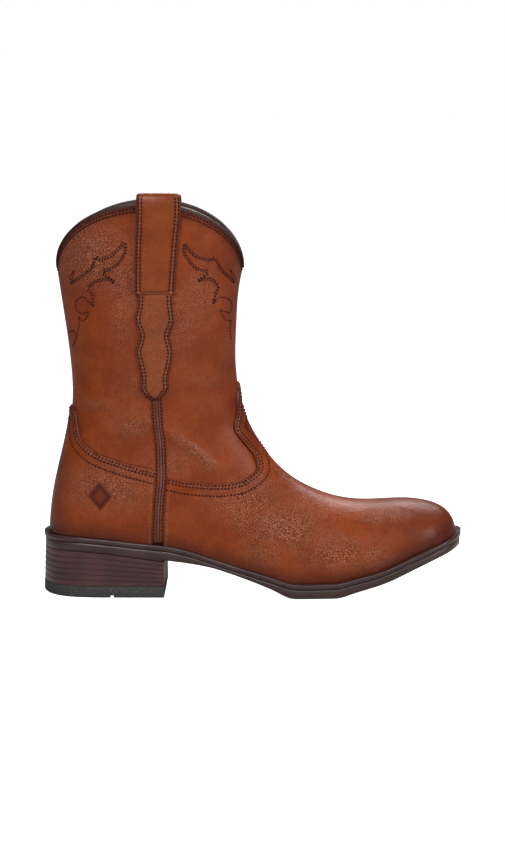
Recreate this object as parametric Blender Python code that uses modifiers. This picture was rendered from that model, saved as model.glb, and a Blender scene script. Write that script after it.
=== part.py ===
"""Roper boot for the right foot, standing empty on its sole.

Metres, +Z up, toe towards +X, the inner side of the foot towards +Y.
The origin is the centre of the heel's bottom face, on the floor.
"""

import math

import bmesh
import bpy
import numpy as np

MM = 0.001

# Driving sizes
LAST_LENGTH = 290.0 * MM
BALL_WIDTH = 92.0 * MM
INSTEP_RISE = 72.0 * MM
SHAFT_HEIGHT = 189.0 * MM
SHAFT_LENGTH = 132.0 * MM
SHAFT_WIDTH = 86.0 * MM
COLLAR_DIP = 45.0 * MM
HEEL_RISE = 43.5 * MM
TOE_SPRING = 43.5 * MM
HEEL_LENGTH = 90.0 * MM
HEEL_OVERHANG = 8.0 * MM
UPPER_WALL = 2.0 * MM
OVERLAY = 1.3 * MM
GAP = 0.35 * MM
OVERLAY_GAP = 0.5 * MM
LEVEL_BAND = 12.0 * MM
WELT_THICKNESS = 3.6 * MM
WELT_MARGIN = 5.2 * MM
OUTSOLE_STEP = 0.7 * MM
SOLE_CAMBER = 1.3 * MM
CAP_HEIGHT = 8.0 * MM
CAP_FLARE = 1.2 * MM
CAP_GROOVE = 1.8 * MM
LIFTS = 6
LIFT_GROOVE = 0.7 * MM
INSOLE_THICKNESS = 3.0 * MM
INSOLE_CLEARANCE = 2.4 * MM
INSOLE_LIFT = 0.7 * MM
STRAP_THICKNESS = 1.8 * MM
STRAP_STAND_OFF = 2.0 * MM
STRAP_RISE = 6.5 * MM
STRAP_INSIDE = 30.0 * MM
BINDING = 0.9 * MM
BINDING_LEG = 3.0 * MM
PIPING_RADIUS = 1.2 * MM

HEEL_POINT = HEEL_OVERHANG - HEEL_LENGTH / 2

# Sole line along the last. Heights are shares of the heel's rise and of the toe spring.
SOLE_COLUMNS = ("x", "heel", "spring", "thick_heel", "thick_spring", "margin")
SOLE_ROWS = (
    (-0.03, 1.000, 0.000, 0.24, 0.000, 1.25),
    (0.06, 0.995, 0.000, 0.24, 0.000, 0.80),
    (0.13, 0.965, 0.000, 0.24, 0.000, 0.60),
    (0.21, 0.905, 0.000, 0.25, 0.000, 0.58),
    (0.29, 0.850, 0.000, 0.27, 0.000, 0.58),
    (0.34, 0.780, 0.000, 0.24, 0.000, 0.60),
    (0.42, 0.615, 0.000, 0.18, 0.000, 0.66),
    (0.48, 0.500, 0.000, 0.19, 0.000, 0.76),
    (0.54, 0.390, 0.000, 0.225, 0.000, 0.88),
    (0.60, 0.275, 0.000, 0.275, 0.000, 1.00),
    (0.70, 0.250, 0.025, 0.250, 0.025, 1.00),
    (0.75, 0.225, 0.120, 0.225, 0.035, 1.00),
    (0.82, 0.140, 0.330, 0.13, 0.120, 1.00),
    (0.90, 0.060, 0.640, 0.05, 0.200, 1.00),
    (1.03, 0.000, 1.040, 0.00, 0.240, 1.00),
)

# Sections of the foot, fanned from the toe's feather line back to the heel seat. The ridge rises
# above the sole line by a share of the instep's rise, half widths are shares of the ball's width,
# and the turn is the angle from the ridge round to the feather line. Above 1, blunt makes the
# section's rear end fuller than an ellipse.
FOOT_COLUMNS = (
    "ridge_x", "ridge_rise", "base_x", "lateral", "medial", "turn", "bias", "blunt"
)
FOOT_ROWS = (
    (1.000, 0.000, 0.955, 0.275, 0.275, 75, 0.020, 1.00),
    (0.996, 0.085, 0.930, 0.305, 0.310, 82, 0.022, 1.00),
    (0.985, 0.185, 0.902, 0.335, 0.350, 88, 0.025, 1.00),
    (0.965, 0.285, 0.870, 0.365, 0.392, 93, 0.028, 1.00),
    (0.925, 0.400, 0.820, 0.395, 0.440, 97, 0.030, 1.00),
    (0.870, 0.515, 0.755, 0.430, 0.490, 100, 0.030, 1.00),
    (0.810, 0.590, 0.690, 0.452, 0.523, 102, 0.026, 1.00),
    (0.740, 0.665, 0.620, 0.460, 0.530, 103, 0.020, 1.00),
    (0.670, 0.780, 0.545, 0.445, 0.495, 104, 0.014, 1.00),
    (0.605, 0.900, 0.465, 0.405, 0.430, 105, 0.010, 1.00),
    (0.555, 1.020, 0.375, 0.365, 0.378, 106, 0.006, 1.02),
    (0.520, 1.160, 0.280, 0.350, 0.355, 108, 0.003, 1.06),
    (0.497, 1.290, 0.190, 0.355, 0.358, 112, 0.000, 1.12),
    (0.482, 1.390, 0.115, 0.362, 0.364, 117, 0.000, 1.18),
    (0.474, 1.480, 0.060, 0.362, 0.364, 128, 0.000, 1.22),
    (0.468, 1.560, 0.024, 0.362, 0.364, 145, 0.000, 1.25),
    (0.465, 1.640, 0.005, 0.364, 0.366, 165, 0.000, 1.25),
    (0.463, 1.720, 0.000, 0.368, 0.370, 180, 0.000, 1.25),
)

# Rings of the shaft above the heel seat. Places along the boot are shares of the shaft's length
# from the heel point, heights are shares of its height, half widths of its width.
SHAFT_COLUMNS = ("front_x", "front_z", "back_x", "back_z", "half_width", "crown", "blunt")
SHAFT_ROWS = (
    (1.010, 0.600, 0.008, 0.085, 0.402, 0.00, 1.24),
    (1.006, 0.630, 0.028, 0.175, 0.410, 0.00, 1.22),
    (1.004, 0.668, 0.066, 0.285, 0.420, 0.00, 1.18),
    (1.005, 0.715, 0.105, 0.400, 0.432, 0.00, 1.12),
    (1.009, 0.770, 0.126, 0.510, 0.447, 0.02, 1.06),
    (1.012, 0.830, 0.118, 0.630, 0.463, 0.12, 1.02),
    (1.018, 0.890, 0.096, 0.755, 0.478, 0.35, 1.00),
    (1.029, 0.945, 0.070, 0.880, 0.490, 0.68, 1.00),
    (1.048, 1.000, 0.046, 1.000, 0.500, 1.00, 1.00),
)

# Side-view curves: x as a share of the last's length from the heel point, z as a share of the
# shaft's height above the floor.
VAMP_TOP = (
    (0.294, 0.457),
    (0.345, 0.439),
    (0.422, 0.429),
    (0.461, 0.433),
    (0.493, 0.454),
    (0.510, 0.484),
    (0.505, 0.514),
    (0.481, 0.562),
    (0.458, 0.605),
    (0.452, 0.632),
    (0.456, 0.665),
    (0.460, 0.743),
    (0.464, 0.800),
)
COUNTER_TOP = (
    (0.265, 0.480),
    (0.193, 0.514),
    (0.119, 0.556),
    (0.083, 0.605),
    (0.076, 0.646),
    (0.070, 0.700),
    (0.056, 0.710),
)
SEAM = (
    (0.268, 0.216),
    (0.271, 0.350),
    (0.277, 0.470),
    (0.276, 0.570),
    (0.270, 0.662),
    (0.267, 0.735),
)
SEAM_HALF = 0.0104
TAB_COLUMNS = ("z", "rear", "front")
TAB_ROWS = (
    (1.145, 0.224, 0.311),
    (1.115, 0.225, 0.309),
    (1.050, 0.218, 0.313),
    (0.992, 0.228, 0.302),
    (0.933, 0.219, 0.309),
    (0.884, 0.225, 0.305),
    (0.835, 0.230, 0.297),
    (0.800, 0.229, 0.298),
    (0.775, 0.236, 0.289),
    (0.752, 0.257, 0.275),
    (0.744, 0.265, 0.269),
)
STRAP_COLUMNS = ("z", "rear", "front")
STRAP_ROWS = (
    (1.157, 0.219, 0.312),
    (1.300, 0.221, 0.320),
    (1.480, 0.225, 0.330),
)


def table(columns, rows):
    """Each column of a table as an array."""
    return dict(zip(columns, np.array(rows, float).T))


def smooth(at, knots, values):
    """Monotone cubic through the knots, so that no curve swings past its table."""
    at = np.clip(np.asarray(at, float), knots[0], knots[-1])
    steps = np.diff(knots)
    slopes = np.diff(values) / steps
    inner = slopes[:-1] * slopes[1:]
    total = slopes[:-1] + slopes[1:]
    tangents = np.zeros(len(knots))
    tangents[1:-1] = np.where(inner > 0, 2 * inner / np.where(inner > 0, total, 1), 0)
    tangents[0], tangents[-1] = slopes[0], slopes[-1]
    i = np.clip(np.searchsorted(knots, at, side="right") - 1, 0, len(steps) - 1)
    t = (at - knots[i]) / steps[i]
    rise = values[i + 1] - values[i]
    start = tangents[i] * steps[i]
    end = tangents[i + 1] * steps[i]
    return values[i] + t * (start + t * (3 * rise - 2 * start - end + t * (start + end - 2 * rise)))


SOLE = table(SOLE_COLUMNS, SOLE_ROWS)


def along(share):
    return HEEL_POINT + np.asarray(share, float) * LAST_LENGTH


def sole_value(x, column):
    return smooth((np.asarray(x, float) - HEEL_POINT) / LAST_LENGTH, SOLE["x"], SOLE[column])


def sole_top(x):
    """Height of the feather line, where the upper meets the welt."""
    return HEEL_RISE * sole_value(x, "heel") + TOE_SPRING * sole_value(x, "spring")


def sole_bottom(x):
    thick = HEEL_RISE * sole_value(x, "thick_heel") + TOE_SPRING * sole_value(x, "thick_spring")
    return np.maximum(sole_top(x) - thick, 0)


def section_columns():
    """The foot's and the shaft's rows as one run of sections, in metres."""
    foot = table(FOOT_COLUMNS, FOOT_ROWS)
    shaft = table(SHAFT_COLUMNS, SHAFT_ROWS)
    none = np.zeros(len(SHAFT_ROWS))
    ridge_x, base_x = along(foot["ridge_x"]), along(foot["base_x"])
    front_x = HEEL_POINT + shaft["front_x"] * SHAFT_LENGTH
    back_x = HEEL_POINT + shaft["back_x"] * SHAFT_LENGTH
    half = shaft["half_width"] * SHAFT_WIDTH
    ridge_z = sole_top(ridge_x) + foot["ridge_rise"] * INSTEP_RISE
    return {
        "ridge_x": np.append(ridge_x, front_x),
        "ridge_z": np.append(ridge_z, HEEL_RISE + shaft["front_z"] * SHAFT_HEIGHT),
        "base_x": np.append(base_x, back_x),
        "lift": np.append(0 * base_x, shaft["back_z"] * SHAFT_HEIGHT),
        "lateral": np.append(foot["lateral"] * BALL_WIDTH, half),
        "medial": np.append(foot["medial"] * BALL_WIDTH, half),
        "turn": np.radians(np.append(foot["turn"], none + 180)),
        "bias": np.append(foot["bias"] * BALL_WIDTH, none),
        "crown": np.append(0 * base_x, shaft["crown"] * COLLAR_DIP),
        "blunt": np.append(foot["blunt"], shaft["blunt"]),
    }


SECTIONS = section_columns()
SECTION_COUNT = len(SECTIONS["turn"])
HEEL_SECTION = len(FOOT_ROWS) - 1
COLLAR_SECTION = SECTION_COUNT - 1
FOOT_STEPS = 25
A_LINES = np.concatenate([
    np.linspace(0, HEEL_SECTION, FOOT_STEPS + 1),
    np.linspace(HEEL_SECTION, COLLAR_SECTION, 14)[1:],
])
B_LINES = np.linspace(-1, 1, 29)


def skin(a, b):
    """Point of the upper's outer face: a runs over the sections, b from lateral -1 to medial 1."""
    a, b = np.broadcast_arrays(np.asarray(a, float), np.asarray(b, float))
    knots = np.arange(SECTION_COUNT, dtype=float)
    at = {name: smooth(a, knots, column) for name, column in SECTIONS.items()}
    angle = np.abs(b) * at["turn"]
    left = (np.cos(angle) - np.cos(at["turn"])) / (1 - np.cos(at["turn"]))
    down = 1 - np.clip(left, 0, 1) ** at["blunt"]
    half = np.where(b < 0, -at["lateral"], at["medial"])
    base_z = sole_top(at["base_x"]) + at["lift"]
    x = at["ridge_x"] + (at["base_x"] - at["ridge_x"]) * down
    y = at["bias"] + half * np.sin(angle)
    z = at["ridge_z"] + (base_z - at["ridge_z"]) * down + at["crown"] * np.sin(angle)
    return np.stack([x, y, z + GAP], axis=-1)


def skin_normal(a, b):
    step, reach = 0.01, 0.3
    a, b = np.broadcast_arrays(np.asarray(a, float), np.asarray(b, float))
    a0, a1 = np.maximum(a - reach, 0), np.minimum(a + reach, COLLAR_SECTION)
    closed = a >= HEEL_SECTION
    b0 = np.where(closed & (b - step < -1), b - step + 2, np.maximum(b - step, -1))
    b1 = np.where(closed & (b + step > 1), b + step - 2, np.minimum(b + step, 1))
    across = skin(a, b1) - skin(a, b0)
    on = skin(a1, b) - skin(a0, b)
    normal = np.cross(across, on)
    return normal / np.linalg.norm(normal, axis=-1, keepdims=True)


def raised(a, b, height):
    """Points off the skin, moved level near the feather line so that they clear the sole."""
    points, normal = skin(a, b), skin_normal(a, b)
    above = points[..., 2] - sole_top(points[..., 0])
    down = np.minimum(normal[..., 2], 0)
    normal[..., 2] -= down * np.clip(1 - above / LEVEL_BAND, 0, 1)
    return points + normal / np.linalg.norm(normal, axis=-1, keepdims=True) * height


def on_facets(a, b, height):
    """Points over the upper's own facets, so that what lies on them keeps its gap."""
    a, b = np.broadcast_arrays(np.asarray(a, float), np.asarray(b, float))
    grid = raised(A_LINES[:, None], B_LINES[None, :], height)
    i = np.clip(np.searchsorted(A_LINES, a, side="right") - 1, 0, len(A_LINES) - 2)
    j = np.clip(np.searchsorted(B_LINES, b, side="right") - 1, 0, len(B_LINES) - 2)
    s = ((a - A_LINES[i]) / (A_LINES[i + 1] - A_LINES[i]))[..., None]
    t = ((b - B_LINES[j]) / (B_LINES[j + 1] - B_LINES[j]))[..., None]
    low = grid[i, j] * (1 - t) + grid[i, j + 1] * t
    high = grid[i + 1, j] * (1 - t) + grid[i + 1, j + 1] * t
    return low * (1 - s) + high * s


def on_side(x, z, side):
    """The (a, b) of the point seen at x, z from one side."""
    x, z = np.atleast_1d(x).astype(float), np.atleast_1d(z).astype(float)
    a, b = np.meshgrid(np.linspace(0, COLLAR_SECTION, 209), np.linspace(0.05, 1, 77), indexing="ij")
    seen = skin(a, side * b)
    found_a, found_b = np.empty(len(x)), np.empty(len(x))
    for i in range(len(x)):
        away = (seen[..., 0] - x[i]) ** 2 + (seen[..., 2] - z[i]) ** 2
        near = np.unravel_index(np.argmin(away), away.shape)
        found_a[i], found_b[i] = a[near], b[near]
    for _ in range(6):
        here = skin(found_a, side * found_b)
        by_a = skin(found_a + 0.01, side * found_b) - here
        by_b = skin(found_a, side * (found_b - 0.01)) - here
        miss_x, miss_z = x - here[:, 0], z - here[:, 2]
        cross = by_a[:, 0] * by_b[:, 2] - by_a[:, 2] * by_b[:, 0]
        cross = np.where(np.abs(cross) < 1e-10, 1e-10, cross)
        move_a = (miss_x * by_b[:, 2] - miss_z * by_b[:, 0]) / cross
        move_b = (by_a[:, 0] * miss_z - by_a[:, 2] * miss_x) / cross
        found_a = np.clip(found_a + 0.01 * np.clip(move_a, -30, 30), 0, COLLAR_SECTION)
        found_b = np.clip(found_b - 0.01 * np.clip(move_b, -5, 5), 0.02, 1)
    return found_a, found_b


def curve_through(points, count):
    """Evenly parted points on a smooth curve through the given ones."""
    points = np.array(points, float)
    lengths = np.append(0, np.cumsum(np.linalg.norm(np.diff(points, axis=0), axis=1)))
    at = np.linspace(0, lengths[-1], count)
    return np.stack([smooth(at, lengths, points[:, i]) for i in range(2)], axis=-1)


def material(name, color, roughness):
    made = bpy.data.materials.new(name)
    made.use_nodes = True
    shader = made.node_tree.nodes["Principled BSDF"]
    shader.inputs["Base Color"].default_value = (*color, 1)
    shader.inputs["Roughness"].default_value = roughness
    shader.inputs["Metallic"].default_value = 0.0
    made.diffuse_color = (*color, 1)
    return made


def boot_object(name, build, finish):
    """An object of the boot from a bmesh, smooth shaded."""
    mesh = bpy.data.meshes.new(name)
    build.to_mesh(mesh)
    build.free()
    mesh.shade_smooth()
    mesh.set_sharp_from_angle(angle=math.radians(35))
    mesh.materials.append(finish)
    made = bpy.data.objects.new(name, mesh)
    BOOT.objects.link(made)
    return made


def loft(*grids, ring=False, caps=False):
    """A bmesh with each grid's points joined row to row, each cell split on its short diagonal."""
    build = bmesh.new()
    for grid in grids:
        rows = [[build.verts.new(point) for point in row] for row in grid]
        for lower, upper in zip(rows, rows[1:]):
            for i in range(len(lower) - (not ring)):
                k = (i + 1) % len(lower)
                if (lower[i].co - upper[k].co).length < (lower[k].co - upper[i].co).length:
                    build.faces.new((lower[i], lower[k], upper[k]))
                    build.faces.new((lower[i], upper[k], upper[i]))
                else:
                    build.faces.new((lower[i], lower[k], upper[i]))
                    build.faces.new((lower[k], upper[k], upper[i]))
        if caps:
            build.faces.new(rows[0][::-1])
            build.faces.new(rows[-1])
    bmesh.ops.remove_doubles(build, verts=build.verts, dist=1e-6)
    if not any(edge.is_boundary for edge in build.edges):
        bmesh.ops.recalc_face_normals(build, faces=build.faces)
    return build


def thicken(made, thickness, inward):
    shell = made.modifiers.new("wall", "SOLIDIFY")
    shell.thickness = thickness
    shell.offset = -1 if inward else 1
    shell.use_even_offset = False
    shell.use_rim = True
    return made


def share_points(points):
    """Side-view shares as x and z in metres."""
    points = np.array(points, float)
    return along(points[:, 0]), points[:, 1] * SHAFT_HEIGHT


def on_curve(points, count, side):
    """(a, b) along a side-view curve on one side of the boot."""
    x, z = share_points(curve_through(points, count))
    return on_side(x, z, side)


def make_upper():
    build = loft(skin(A_LINES[:, None], B_LINES[None, :]))
    return thicken(boot_object("upper", build, LEATHER), UPPER_WALL, True)


def seam_edge(shift, top):
    """The side seam from the feather line up to a height, shifted to its front or rear."""
    return [(x + shift, z) for x, z in SEAM if z < top]


def feather_at(x, side):
    """The section whose feather line lies at x."""
    return on_side(x, sole_top(x) + GAP, side)[0][0]


def vamp_limit(side):
    """How far back the vamp reaches, in sections, at each b of one side."""
    edge = seam_edge(SEAM_HALF, VAMP_TOP[0][1] - 0.05)
    a, b = on_curve(edge + list(VAMP_TOP), 160, side)
    order = np.argsort(b)
    foot = feather_at(along(edge[0][0]), side)
    return np.append(b[order], 1.0), np.append(a[order], foot)


def make_vamp():
    limits = {side: vamp_limit(side) for side in (-1, 1)}
    reach = np.array([np.interp(abs(v), *limits[-1 if v < 0 else 1]) for v in B_LINES])
    lines = A_LINES[A_LINES < reach.max() + A_LINES[1]]
    a = np.minimum(lines[:, None], reach[None, :])
    build = loft(on_facets(a, B_LINES[None, :], OVERLAY_GAP))
    return cut_by(thicken(boot_object("vamp", build, LEATHER), OVERLAY, False), SOLE_CUTTER)


def counter_half(side):
    """One half of the counter: from the seam back to the back line, and up to its top line."""
    edge = seam_edge(-SEAM_HALF, COUNTER_TOP[0][1] - 0.05)
    edge_a, edge_b = on_curve(edge + list(COUNTER_TOP), 160, side)
    foot = feather_at(along(edge[0][0]), side)
    corner = np.argmin(edge_b)
    rear_a, rear_b = np.append(foot, edge_a[:corner]), np.append(1.0, edge_b[:corner])
    lines = np.append(foot, A_LINES[(A_LINES > foot) & (A_LINES < edge_a.max() + 1)])[:, None]
    columns = np.abs(B_LINES[B_LINES * side > 0])[None, :]
    b = np.maximum(columns, np.interp(lines, rear_a, rear_b))
    a = np.minimum(lines, np.interp(b, edge_b[corner:], edge_a[corner:]))
    return on_facets(a, side * b, OVERLAY_GAP)


def make_counter():
    """Two halves that meet on the back line, above the heel seat."""
    build = loft(counter_half(-1), counter_half(1))
    return cut_by(thicken(boot_object("counter", build, LEATHER), OVERLAY, False), SOLE_CUTTER)


def strip_rows(columns, rows, count, across, side):
    """(a, b) grids of a strip given by its height and its rear and front edges."""
    strip = table(columns, rows)
    order = np.argsort(strip["z"])
    z = np.linspace(strip["z"].min(), strip["z"].max(), count)
    rear = smooth(z, strip["z"][order], strip["rear"][order])
    front = smooth(z, strip["z"][order], strip["front"][order])
    t = np.linspace(0, 1, across)
    x = along(rear[:, None] + (front - rear)[:, None] * t)
    a, b = on_side(x.ravel(), np.repeat(z * SHAFT_HEIGHT, across), side)
    return a.reshape(count, across), side * b.reshape(count, across)


def facing(grid, side):
    """The grid in the order that makes its faces look away from the foot."""
    return grid if side < 0 else grid[:, ::-1]


def make_side_tab(name, side):
    a, b = strip_rows(TAB_COLUMNS, TAB_ROWS, 20, 4, side)
    build = loft(facing(on_facets(a, b, GAP), side))
    return thicken(boot_object(name, build, LEATHER), OVERLAY, False)


def make_pull_strap(name, side):
    """A strip up the outside, over the collar and down inside, as one loop."""
    a, b = strip_rows(STRAP_COLUMNS, STRAP_ROWS, 8, 5, side)
    stand = np.linspace(GAP, STRAP_STAND_OFF, 8)[:, None, None]
    outer = skin(a, b) + skin_normal(a, b) * stand
    edge = outer[-1]
    normal = skin_normal(a[-1], b[-1])
    inner_edge = edge - normal * (2 * STRAP_STAND_OFF + UPPER_WALL)
    middle = (edge + inner_edge) / 2
    reach = (edge - inner_edge) / 2
    turn = np.linspace(0, math.pi, 9)[1:-1, None, None]
    up = np.array([0, 0, STRAP_RISE])
    over = middle + reach * np.cos(turn) + up * np.sin(turn)
    drop = np.linspace(0, STRAP_INSIDE, 5)[:, None, None]
    inner = inner_edge - np.array([0, 0, 1.0]) * drop
    grid = np.concatenate([outer, over, inner])
    build = loft(facing(grid, side))
    return thicken(boot_object(name, build, LEATHER), STRAP_THICKNESS, False)


def make_piping(name, side):
    """A round cord that lies on the upper along the side seam."""
    a, b = on_curve(SEAM, 14, side)
    path = on_facets(a, side * b, PIPING_RADIUS + OVERLAY_GAP)
    curve = bpy.data.curves.new(name, "CURVE")
    curve.dimensions = "3D"
    curve.bevel_depth = PIPING_RADIUS
    curve.bevel_resolution = 2
    curve.use_fill_caps = True
    line = curve.splines.new("POLY")
    line.points.add(len(path) - 1)
    for point, place in zip(line.points, path):
        point.co = (*place, 1)
    curve.materials.append(CORD)
    made = bpy.data.objects.new(name, curve)
    BOOT.objects.link(made)
    return made


def make_collar_binding():
    """A folded strip over the edge of the collar, all the way round."""
    b = B_LINES[:-1]
    top = skin(COLLAR_SECTION, b)
    normal = skin_normal(COLLAR_SECTION, b)
    below = skin(COLLAR_SECTION - 0.05, b)
    on = top - below
    on /= np.linalg.norm(on, axis=-1, keepdims=True)
    clear = 2 * GAP
    outer, inner = clear, -UPPER_WALL - clear
    fold = (
        (outer, -BINDING_LEG),
        (outer, clear),
        (inner, clear),
        (inner, -BINDING_LEG),
    )
    grid = np.stack([top + normal * side + on * rise for side, rise in fold])
    build = loft(grid, ring=True)
    return thicken(boot_object("collar_binding", build, BOUND), BINDING, False)


def feather_line(finer=1):
    """Plan of the feather line, lateral and medial, paired from the heel point to the toe tip."""
    a = np.linspace(HEEL_SECTION, 0, FOOT_STEPS * finer + 1)
    sides = []
    for side in (-1, 1):
        foot = skin(a, side)[:, :2]
        toe = skin(0, side * np.linspace(1, 0, 9)[1:])[:, :2]
        sides.append(np.concatenate([foot, toe]))
    return sides


def offset_plan(line, distance, side):
    """The plan line moved outward by a distance at each point."""
    ahead = np.gradient(line, axis=0)
    ahead[0] = (0, side)
    ahead[-1] = (0, -side)
    normal = np.stack([ahead[:, 1], -ahead[:, 0]], axis=-1)
    normal *= -side / np.linalg.norm(normal, axis=-1, keepdims=True)
    return line + normal * np.asarray(distance).reshape(-1, 1)


def margin(x):
    return WELT_MARGIN * sole_value(x, "margin")


def sole_outline(inset=0.0, finer=1):
    return [
        offset_plan(line, margin(line[:, 0]) - inset, side)
        for line, side in zip(feather_line(finer), (-1, 1))
    ]


def slab(name, outline, top, bottom, cells, finish):
    """A solid between two heights, with cells across from the lateral to the medial line."""
    lateral, medial = outline
    t = np.linspace(0, 1, cells + 1)[None, :, None]
    plan = lateral[:, None] + (medial - lateral)[:, None] * t
    across = np.broadcast_to(2 * t[..., 0] - 1, plan.shape[:2])
    upper = np.dstack([plan, top(plan[..., 0], across)])
    lower = np.dstack([plan, bottom(plan[..., 0], across)])
    grid = np.concatenate([upper, lower[:, ::-1]], axis=1)
    return boot_object(name, loft(grid, ring=True), finish)


def camber(across):
    """The sole's bottom rises a little towards its edges and is flat between."""
    return SOLE_CAMBER * np.clip((np.abs(across) - 0.4) / 0.6, 0, 1) ** 2


def make_welt():
    return slab(
        "welt",
        sole_outline(),
        lambda x, v: sole_top(x),
        lambda x, v: sole_top(x) - WELT_THICKNESS,
        3,
        EDGE,
    )


def make_outsole():
    return slab(
        "outsole",
        sole_outline(OUTSOLE_STEP),
        lambda x, v: sole_top(x) - WELT_THICKNESS - GAP,
        lambda x, v: sole_bottom(x) + camber(v) * (x > HEEL_LENGTH / 2),
        6,
        EDGE,
    )


def heel_plan(count, grow):
    """D-shaped plan of the heel: the sole's outline cut straight across at the breast."""
    breast = HEEL_POINT + HEEL_LENGTH - HEEL_OVERHANG
    lateral, medial = sole_outline(OUTSOLE_STEP - grow, 3)
    rows = []
    for line in (lateral, medial):
        x = np.linspace(0, 1, count) ** 1.7 * (breast - line[0, 0]) + line[0, 0]
        rows.append(np.stack([x, np.interp(x, line[:, 0], line[:, 1])], axis=-1))
    rows[0][0] = rows[1][0] = (rows[0][0] + rows[1][0]) / 2
    return np.concatenate([rows[0][::-1], rows[1][1:]])


def heel_rings(levels):
    """Rings of the heel's plan: each level is a share of the way up and an outward shift."""
    rings = []
    for share, grow in levels:
        plan = heel_plan(13, grow)
        seat = sole_bottom(plan[:, 0]) - GAP
        low = CAP_HEIGHT + GAP
        rings.append(np.column_stack([plan, low + (seat - low) * share]))
    return np.array(rings)


def make_heel_stack():
    levels = []
    for i in range(LIFTS):
        low, high = i / LIFTS, (i + 1) / LIFTS
        notch = 0.12 / LIFTS
        grow = CAP_FLARE * (1 - low)
        levels += [(low, grow - LIFT_GROOVE * (i > 0)), (low + notch, grow), (high - notch, grow)]
    levels.append((1.0, -LIFT_GROOVE))
    build = loft(heel_rings(levels), ring=True, caps=True)
    return boot_object("heel_stack", build, STACK)


def make_heel_cap():
    plan = heel_plan(13, CAP_FLARE)
    low = np.column_stack([plan, 0 * plan[:, 0]])
    high = np.column_stack([plan, 0 * plan[:, 0] + CAP_HEIGHT])
    made = boot_object("heel_cap", loft([low, high], ring=True, caps=True), RUBBER)
    for i in range(3):
        place = HEEL_POINT + HEEL_LENGTH * (0.34 + 0.16 * i)
        bpy.ops.mesh.primitive_cube_add(size=1, location=(place, 0, 0))
        groove = bpy.context.object
        groove.name = f"cap_groove_{i}"
        groove.scale = (2.6 * MM, HEEL_LENGTH, 2 * CAP_GROOVE)
        for owner in groove.users_collection:
            owner.objects.unlink(groove)
        cut_by(made, as_cutter(groove))
    return made


def make_sole_cutter():
    """What trims the overlays just clear of the welt."""
    cutter = slab(
        "sole_cutter",
        sole_outline(-WELT_MARGIN),
        lambda x, v: sole_top(x) + 2 * GAP,
        lambda x, v: sole_top(x) - HEEL_RISE / 2,
        3,
        EDGE,
    )
    BOOT.objects.unlink(cutter)
    return as_cutter(cutter)


def as_cutter(made):
    CUTTERS.objects.link(made)
    made.hide_render = True
    made.display_type = "WIRE"
    return made


def cut_by(made, cutter):
    cut = made.modifiers.new(cutter.name, "BOOLEAN")
    cut.operation = "DIFFERENCE"
    cut.object = cutter
    return made


def make_insole():
    inset = UPPER_WALL + INSOLE_CLEARANCE
    outline = [offset_plan(line, 0 * line[:, 0] - inset, side)
               for line, side in zip(feather_line(), (-1, 1))]
    return slab(
        "insole",
        outline,
        lambda x, v: sole_top(x) + INSOLE_LIFT + INSOLE_THICKNESS,
        lambda x, v: sole_top(x) + INSOLE_LIFT,
        4,
        LINING,
    )


for old in list(bpy.data.objects):
    bpy.data.objects.remove(old, do_unlink=True)

BOOT = bpy.data.collections.new("roper_boot")
CUTTERS = bpy.data.collections.new("cutters")
bpy.context.scene.collection.children.link(BOOT)
bpy.context.scene.collection.children.link(CUTTERS)

LEATHER = material("tan_leather", (0.24, 0.065, 0.022), 0.42)
CORD = material("seam_cord", (0.10, 0.022, 0.018), 0.5)
BOUND = material("collar_edge", (0.035, 0.016, 0.012), 0.6)
EDGE = material("sole_edge", (0.055, 0.028, 0.022), 0.45)
STACK = material("heel_leather", (0.085, 0.035, 0.028), 0.4)
RUBBER = material("cap_rubber", (0.03, 0.03, 0.028), 0.75)
LINING = material("lining", (0.30, 0.17, 0.09), 0.8)

SOLE_CUTTER = make_sole_cutter()
make_upper()
make_vamp()
make_counter()
for side_name, side_sign in (("lateral", -1), ("medial", 1)):
    make_side_tab("side_tab_" + side_name, side_sign)
    make_pull_strap("pull_strap_" + side_name, side_sign)
    make_piping("piping_" + side_name, side_sign)
make_collar_binding()
make_insole()
make_welt()
make_outsole()
make_heel_stack()
make_heel_cap()
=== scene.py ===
"""Roper boot for the right foot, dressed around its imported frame.

Metres, +Z up, toe towards +X, the inner side of the foot towards +Y.
Every surface is laid over the same last as the solids, from the same named sizes.
"""

import math

import bmesh
import bpy
import numpy as np
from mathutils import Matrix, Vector
from mathutils.kdtree import KDTree


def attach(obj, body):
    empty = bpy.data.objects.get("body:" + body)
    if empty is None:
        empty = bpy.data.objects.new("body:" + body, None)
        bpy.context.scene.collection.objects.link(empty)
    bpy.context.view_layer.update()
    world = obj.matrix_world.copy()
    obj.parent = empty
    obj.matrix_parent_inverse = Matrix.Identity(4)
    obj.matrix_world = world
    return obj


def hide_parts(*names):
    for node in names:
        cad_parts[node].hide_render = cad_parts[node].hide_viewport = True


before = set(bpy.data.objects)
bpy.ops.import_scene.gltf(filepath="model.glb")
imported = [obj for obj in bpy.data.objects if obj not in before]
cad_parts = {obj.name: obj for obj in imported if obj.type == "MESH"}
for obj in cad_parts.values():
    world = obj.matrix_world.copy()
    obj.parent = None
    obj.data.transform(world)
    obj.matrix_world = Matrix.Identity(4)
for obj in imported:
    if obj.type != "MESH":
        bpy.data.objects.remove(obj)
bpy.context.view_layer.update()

MM = 0.001

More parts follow.
